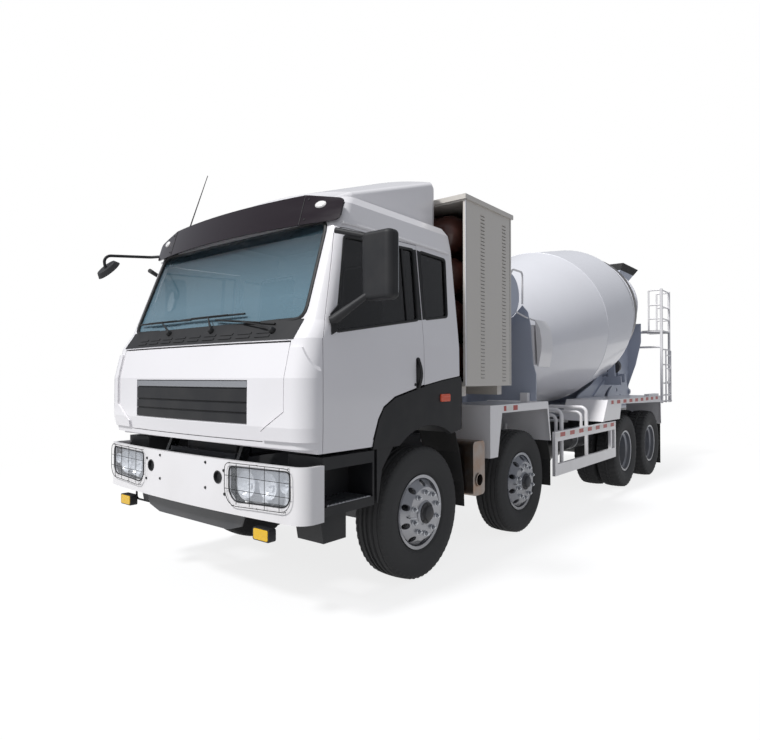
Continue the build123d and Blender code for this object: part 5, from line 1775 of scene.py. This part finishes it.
# --------------------------------------------------------------------------- front
@dataclass
class Front:
    """Grille, bumper lamps with their guards, fog lamps, tail lamps and tow hole plugs.

    Outlines and places on the bumper are distances across and heights.
    """

    opening: Array = rows_field([(560, 1035), (1130, 1045), (1130, 860), (1090, 815), (620, 800), (560, 860)])
    grille_half: float = mm(716)
    grille_z: tuple[float, float] = (mm(1330), mm(1624))
    bars: Array = rows_field([(1332, 1398), (1404, 1469), (1475, 1569)])
    strip_z: tuple[float, float] = (mm(1577), mm(1620))
    guard_outline: Array = rows_field([(535, 1062), (1150, 1066), (1155, 850), (1105, 788), (600, 772),
                                       (535, 850)])
    guard_legs: Array = rows_field([(570, 1062), (840, 1064), (1125, 1066), (610, 773), (840, 779),
                                    (1095, 787)])
    wire: float = mm(2.5)
    guard_stand: float = mm(18)
    fog_low: Array = field(default_factory=lambda: mm(5090, 800, 575))
    fog_high: Array = field(default_factory=lambda: mm(5165, 960, 655))
    tail_x: float = -mm(3720)
    tail_z: tuple[float, float] = (mm(490), mm(550))
    tow_hole: tuple[float, float] = (mm(440), mm(949))
    bolt_places: Array = rows_field([(505, 1000), (515, 838), (300, 1040), (300, 860)])
    tow_bar: tuple[tuple[float, float, float], ...] = (
        (5.10, -0.83, 0.70), (5.10, -0.83, 0.62), (5.10, -0.60, 0.62), (5.08, -0.50, 0.70))

    def grille_bars(self) -> Form:
        """A dark backing sheet with three bars, each a slab that follows the crown.

        Each bar's face stands 10 mm in along its two edges and 3 mm in between them.

        Returns:
            The form.
        """
        across = np.linspace(-self.grille_half, self.grille_half, 41)
        slabs = [CAB.strip(across, self.grille_z, (-mm(12), -mm(13.5)))]
        for bottom, top in self.bars:
            z = np.array([bottom, bottom + mm(5), top - mm(5), top])[:, None]
            outer = CAB.front(across[None], z, 0.0)
            outer[..., 0] += mm_rows([[-10], [-3], [-3], [-10]])
            slabs.append(shell_between(outer, CAB.front(across[None], z, -mm(12))))
        return Form.join(slabs)

    def grille_strip(self) -> Form:
        """The bright strip along the top of the recess."""
        across = np.linspace(-self.grille_half, self.grille_half, 41)
        return CAB.strip(across, self.strip_z, (-mm(1), -mm(11)))

    def lamp_sheet(self, depths: tuple[float, float]) -> Form:
        """The lamp opening's outline laid on the bumper's face between two depths."""
        return plate(loop(self.opening, mm(40)), CAB.bumper, depths)

    def bead(self, outline: Array, out: float, radius: float) -> Form:
        """A round bead that follows an outline on the bumper's face."""
        return tube(CAB.bumper(outline[:, 0], outline[:, 1], out), radius, 6, (1, 0.05, 0), closed=True)

    def bowl(self, y: float, z: float, radius: float) -> Form:
        """A silvered bowl open to the front with a bulb in it.

        The bowl's depth follows the square of its radius.

        Args:
            y: its place across the truck.
            z: its height.
            radius: its rim's radius.

        Returns:
            The form.
        """
        t = np.linspace(0, 1, 10)
        deep = np.stack([-mm(62) + mm(50) * t**2, mm(6) + (radius - mm(6)) * t], 1)
        back = np.stack([deep[::-1, 0] - mm(4), deep[::-1, 1]], 1)
        centre = CAB.bumper(y, z, 0.0)
        bulb = mm_rows([(-60, 0), (-60, 8), (-30, 10), (-22, 6), (-20, 0)])
        return Form.join([lathe(np.concatenate([deep, back]), centre, AHEAD, 36, closed=True),
                          lathe(bulb, centre, AHEAD, 16)])

    def guard(self) -> Form:
        """A wire guard over a head lamp: a loop with crossing wires, on short legs.

        Returns:
            The form.
        """
        stand, thin = self.guard_stand, self.wire * 0.8
        forms = [self.bead(loop(self.guard_outline, mm(50)), stand, self.wire)]
        for z in mm(975, 885):
            y = np.linspace(mm(535), mm(1153), 16)
            forms.append(tube(CAB.bumper(y, z, stand), thin, 6, (1, 0.05, 0.1)))
        for y in mm(660, 790, 930, 1060):
            z = np.linspace(mm(786), mm(1063), 8)
            forms.append(tube(CAB.bumper(y, z, stand + self.wire), thin, 6, (1, 0.05, 0.1)))
        for y, z in self.guard_legs:
            ends = CAB.bumper(np.full(2, y), z, 0.0) + [(-mm(4), 0, 0), (stand, 0, 0)]
            forms.append(tube(ends, self.wire, 6))
        return Form.join(forms)

    def fog_lamp(self) -> tuple[Form, Form]:
        """A square fog lamp.

        Returns:
            Its rimmed housing, and its yellow lens.
        """
        middle = (self.fog_low + self.fog_high) / 2
        shape = rounded_outline(mm(80), mm(40), mm(14))
        rear, front = self.fog_low[0], self.fog_high[0]
        housing = plate(shape * (1.04, 1.08), facing, (rear + mm(20), front + mm(6)))
        lens = plate(shape * 0.9, facing, (front + mm(4), front + mm(10)))
        return tuple(form.moved((0, middle[1], middle[2])) for form in (housing, lens))

    def tail_lamps(self) -> dict[Look, Form]:
        """The rear lamps' lenses on their blocks.

        Returns:
            A form for each colour.
        """
        rear, front = self.tail_x - mm(10), self.tail_x + mm(2)
        low, high = self.tail_z
        spans = {Look.RED: ((0.830, 0.930), (1.045, 1.140)), Look.AMBER: ((0.940, 1.035),)}
        return {look: Form.join([brick((rear, y0, low), (front, y1, high)) for y0, y1 in ranges])
                for look, ranges in spans.items()}

    def plug(self) -> Form:
        """The dark ring with a thin floor inside a tow hole.

        Returns:
            The form.
        """
        profile = mm_rows([(-20, 0), (-20, 41), (1, 41.5), (2, 46), (5, 44), (4, 36), (-13, 34), (-13, 0)])
        return lathe(profile, CAB.bumper(*self.tow_hole, 0.0), AHEAD, 32)

    def bolts(self) -> Form:
        """The dark bolt heads between the tow holes and the lamps."""
        head = mm_rows([(-2, 0), (-2, 11), (5, 10), (8, 6), (8, 0)])
        return Form.join([lathe(head, CAB.bumper(y, z, 0.0), AHEAD, 12) for y, z in self.bolt_places])

    def grille(self) -> None:
        """Make the lid's grille and its bright strip."""
        for name, form, look in (("grille_bars", self.grille_bars(), Look.PLASTIC),
                                 ("grille_strip", self.grille_strip(), Look.ZINC)):
            make_piece(name, form, look, "front_lid", crease=50)

    def build(self) -> None:
        """Make the front pieces and the tail lamps' lenses."""
        self.grille()
        cover = make_piece("head_lamp_covers", self.lamp_sheet((-mm(6), -mm(2))).both(), Look.LENS,
                           "chassis")
        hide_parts("lamps")
        rim = self.bead(loop(self.opening, mm(40)), 0.0, mm(5))
        make_piece("head_lamp_rims", rim.both(), Look.SEAL, "chassis")
        bowls = Form.join([self.lamp_sheet((-mm(80), -mm(66))), self.bowl(mm(720), mm(925), mm(92)),
                           self.bowl(mm(925), mm(930), mm(88))])
        turn_bowl = self.bowl(mm(1072), mm(945), mm(42))
        make_piece("head_lamp_bowls", bowls.both(), Look.BULB, "chassis")
        make_piece("turn_lamp_bowls", turn_bowl.both(), Look.BULB, "chassis")
        make_piece("lamp_guards", self.guard().both(), Look.SEAL, "chassis")
        housing, lens = self.fog_lamp()
        make_piece("fog_lamp_housings", housing.both(), Look.SEAL, "chassis", bevel_mm=3)
        make_piece("fog_lamp_lenses", lens.both(), Look.FOG, "chassis", bevel_mm=3)
        for look, lenses in self.tail_lamps().items():
            name = f"tail_lenses_{look.name.lower()}"
            make_piece(name, lenses.both(), look, "chassis", bevel_mm=3)
        make_piece("tow_hole_plugs", self.plug().both(), Look.SEAL, "chassis")
        make_piece("bumper_bolts", self.bolts().both(), Look.SEAL, "chassis")
        bar = tube(rounded(self.tow_bar, mm(40)), mm(8), 8)
        make_piece("tow_bar", bar, Look.SEAL, "chassis")


# --------------------------------------------------------------------------- behind the cab
@dataclass
class CabinetTrim:
    """The gas cabinet's louvres, edge strips and seams, and dark sheets and slots of painted shade inside it
    and under its louvres.
    """

    wall: float = mm(1230)
    columns: tuple[tuple[float, float, float], ...] = ((2.850, 1.642, 3.142), (2.426, 1.613, 3.133))
    levels: int = 46
    louvre_half: float = mm(35)
    wall_z: tuple[float, float] = (1.575, 3.225)
    inside_z: tuple[float, float] = (1.603, 3.213)
    seams: tuple[float, float] = (2.298, 3.140)

    def louvres(self, profile: Rows) -> Form:
        """A prism of one profile at every louvre: two columns of them.

        Args:
            profile: the prism's outline across and up, in millimetres from the wall.

        Returns:
            The form of all of them.
        """
        prism = plate(mm_rows(profile), facing, (-self.louvre_half, self.louvre_half))
        places = [spots(x, self.wall, np.linspace(low, high, self.levels)) for x, low, high in self.columns]
        return prism.copies(np.concatenate(places))

    def lining(self) -> Form:
        """Dark sheets of painted shade on the inside of the rear wall and both side walls.

        Returns:
            The form.
        """
        low, high = self.inside_z
        back = brick((2.293, -1.206, low), (2.296, 1.206, high))
        side = brick((2.300, 1.2055, low), (2.995, 1.2085, high))
        return Form.join([back, side, side.mirrored()])

    def build(self) -> None:
        """Make the cabinet's pieces."""
        y, thin = self.wall, mm(1)
        low, high = self.wall_z
        hoods = self.louvres([(-1, 0), (8, 0), (-1, 15)])
        # The thin dark strips under the louvre hoods are painted shade in their openings.
        shade_slots = self.louvres([(-1, -4), (0.6, -4), (0.6, 0), (-1, 0)])
        make_piece("cabinet_louvres", hoods.both(), Look.CABINET, "chassis")
        make_piece("cabinet_slots", shade_slots.both(), Look.LINING, "chassis")
        edge = brick((3.150, y - thin, low), (3.1685, y + mm(6), high))
        make_piece("cabinet_edges", edge.both(), Look.BODY_WHITE, "chassis", bevel_mm=2)
        seams = [brick((x, y - thin, low), (x + mm(4), y + thin, high)) for x in self.seams]
        make_piece("cabinet_seams", Form.join(seams).both(), Look.LINING, "chassis")
        make_piece("cabinet_lining", self.lining(), Look.LINING, "chassis")


@dataclass
class ChassisTrim:
    """Reflective tapes, step treads, air tank straps and the valve box.

    Each tape is its rear and front end, its face across and its two heights.
    """

    tapes: tuple[tuple[float, ...], ...] = (
        (-0.970, 1.190, 1.2405, 0.955, 1.005), (-3.400, -0.800, 1.2385, 1.268, 1.318),
        (2.150, 2.450, 1.2385, 1.315, 1.365))
    ribs: tuple[float, float, int] = (4.485, 4.887, 12)
    strap_places: tuple[float, float] = (-0.300, -0.700)
    tank_y: float = 0.800
    tank_z: float = 0.800

    def treads(self) -> Form:
        """The light tread plate on the cab step's shelf, with its cross ribs.

        Returns:
            The form.
        """
        base = brick((4.470, 0.962, 0.801), (4.910, 1.230, 0.805))
        ribs = [brick((x, 0.970, 0.804), (x + mm(9), 1.222, 0.809)) for x in np.linspace(*self.ribs)]
        return Form.join([base, *ribs])

    def straps(self) -> Form:
        """Two bands round each air tank."""
        band = mm_rows([(-18, 139), (18, 139), (18, 142.5), (-18, 142.5)])
        return Form.join([lathe(band, (x, self.tank_y, self.tank_z), AHEAD, 48, closed=True)
                          for x in self.strap_places])

    def build(self) -> None:
        """Make the chassis' pieces."""
        tapes = [brick((x0, y, z0), (x1, y + mm(1), z1)) for x0, x1, y, z0, z1 in self.tapes]
        make_piece("reflective_tapes", Form.join(tapes).both(), Look.TAPE, "chassis")
        make_piece("step_treads", self.treads().both(), Look.ZINC, "chassis")
        make_piece("air_tank_straps", self.straps().both(), Look.ZINC, "chassis")
        box = brick((1.690, 1.070, 1.382), (1.750, 1.160, 1.480))
        make_piece("valve_box", box, Look.BODY_WHITE, "chassis", bevel_mm=5)


@dataclass
class TankTrim:
    """The water tank's bands and level tube, and the spare chute pieces hung beside it.

    The spare pieces' outlines are places across and up.
    """

    axis: tuple[float, float] = (1.965, 2.530)
    band_y: float = 0.352
    level_tube: tuple[tuple[float, float, float], ...] = (
        (1.700, 1.080, 2.450), (1.700, 1.080, 2.800), (1.950, 1.080, 2.800), (1.950, 1.050, 2.700))
    hook: tuple[tuple[float, float, float], ...] = (
        (1.790, 1.030, 2.370), (1.690, 1.120, 2.300), (1.600, 1.204, 2.262))
    crescent: tuple[tuple[float, float], ...] = (
        (1.206, 2.277), (1.262, 2.180), (1.284, 2.050), (1.282, 1.940), (1.262, 1.830), (1.247, 1.760),
        (1.235, 1.760))
    strip: tuple[tuple[float, float], ...] = (
        (1.150, 2.220), (1.190, 2.220), (1.205, 1.780), (1.165, 1.780))
    spare_x: tuple[float, float] = (1.360, 1.660)

    def build(self) -> None:
        """Make the tank's pieces."""
        x, z = self.axis
        band = mm_rows([(-25, 254), (25, 254), (25, 258), (-25, 258)])
        bands = [lathe(band, (x, y, z), (0, 1, 0), 64, closed=True) for y in (-self.band_y, self.band_y)]
        make_piece("tank_bands", Form.join(bands), Look.PEDESTAL, "chassis")
        level_tube = tube(rounded(self.level_tube, mm(50)), mm(11), 10)
        make_piece("tank_level_tube", level_tube, Look.BODY_WHITE, "chassis")
        hook = tube(rounded(self.hook, mm(40)), mm(9), 8)
        make_piece("chute_hook", hook, Look.BODY_WHITE, "chassis")
        spare = Form.join([plate(outline, facing, self.spare_x) for outline in (self.crescent, self.strip)])
        make_piece("spare_chutes", spare, Look.BODY_WHITE, "chassis", bevel_mm=4)


# --------------------------------------------------------------------------- drum and rear
@dataclass
class DrumTrim:
    """The drum's weld bead and the bright running face of its ring."""

    foot: tuple[float, float, float] = (1.621, 0.0, 1.877)
    lean: float = 11.8

    def band(self, profile: Rows) -> Form:
        """A closed band round the drum's axis.

        Args:
            profile: its places along the axis and radii, in millimetres.

        Returns:
            The form.
        """
        turn = np.radians(self.lean)
        axis = (-np.cos(turn), 0.0, np.sin(turn))
        return lathe(mm_rows(profile), self.foot, axis, 96, closed=True)

    def build(self) -> None:
        """Make the drum's pieces."""
        bead = self.band([(2583, 1163), (2597, 1163), (2593, 1168), (2587, 1168)])
        make_piece("drum_weld_bead", bead, Look.DRUM, "drum")
        face = self.band([(4492, 1009), (4608, 1009), (4608, 1012.8), (4492, 1012.8)])
        make_piece("drum_ring_face", face, Look.RING_STEEL, "drum")


@dataclass
class RearTrim:
    """The platform's grating, the hopper's rubber lips and the ladder's tabs.

    The hopper narrows downwards, so each edge of a lip is a pair of places, low and high.
    """

    grating_x: tuple[float, float, int] = (-5.165, -4.572, 22)
    lip_heights: tuple[float, float] = (3.740, 3.878)
    lip_halves: tuple[float, float] = (0.3795, 0.4195)
    lip_fronts: tuple[float, float] = (-4.102, -4.140)
    lip_rears: tuple[float, float] = (-4.944, -5.138)
    tab_heights: tuple[float, ...] = (3.310, 3.040, 2.774)

    def grating(self) -> Form:
        """A dark sheet under the platform, and bars across its top.

        Returns:
            The form.
        """
        sheet = brick((-5.170, 0.646, 2.529), (-4.566, 1.012, 2.5345))
        bars = [brick((x, 0.650, 2.559), (x + mm(5), 1.008, 2.567)) for x in np.linspace(*self.grating_x)]
        return Form.join([sheet, *bars])

    def lips(self) -> Form:
        """Rubber sheets on the hopper's two sides and its front, just under the rim.

        Each sheet runs evenly between its edges, from 1 to 6 mm off the hopper's plates.

        Returns:
            The form.
        """
        share = np.linspace(0, 1, 12)[None]
        z, y, near, far = (np.array(pair)[:, None] for pair in
                           (self.lip_heights, self.lip_halves, self.lip_fronts, self.lip_rears))
        side = [spots(near + (far - near) * share, y + out, z) for out in mm(6, 1)]
        front = [spots(near + out, y * (1 - 2 * share), z) for out in mm(6, 1)]
        flank = shell_between(*side)
        return Form.join([flank, flank.mirrored(), shell_between(*front)])

    def build(self) -> None:
        """Make the pieces at the back."""
        make_piece("platform_grating", self.grating(), Look.CHASSIS, "chassis")
        make_piece("hopper_lips", self.lips(), Look.FLAP, "chassis")
        tabs = [brick((-5.199, 0.985, z), (-5.165, 1.015, z + mm(40))) for z in self.tab_heights]
        make_piece("ladder_tabs", Form.join(tabs), Look.BODY_WHITE, "chassis", bevel_mm=3)


def main() -> None:
    """Build the stage, dress the CAD pieces and add each sub-assembly's own pieces."""
    logging.basicConfig(level=logging.INFO, format="%(message)s")
    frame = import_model()
    Stage().build()
    Coats().dress(frame["nodes"])
    assemblies = (WheelSet(), CabGlass(), CabTrim(), Seats(), Front(), CabinetTrim(), ChassisTrim(),
                  TankTrim(), DrumTrim(), RearTrim())
    for assembly in assemblies:
        assembly.build()


if __name__ == "__main__":
    main()
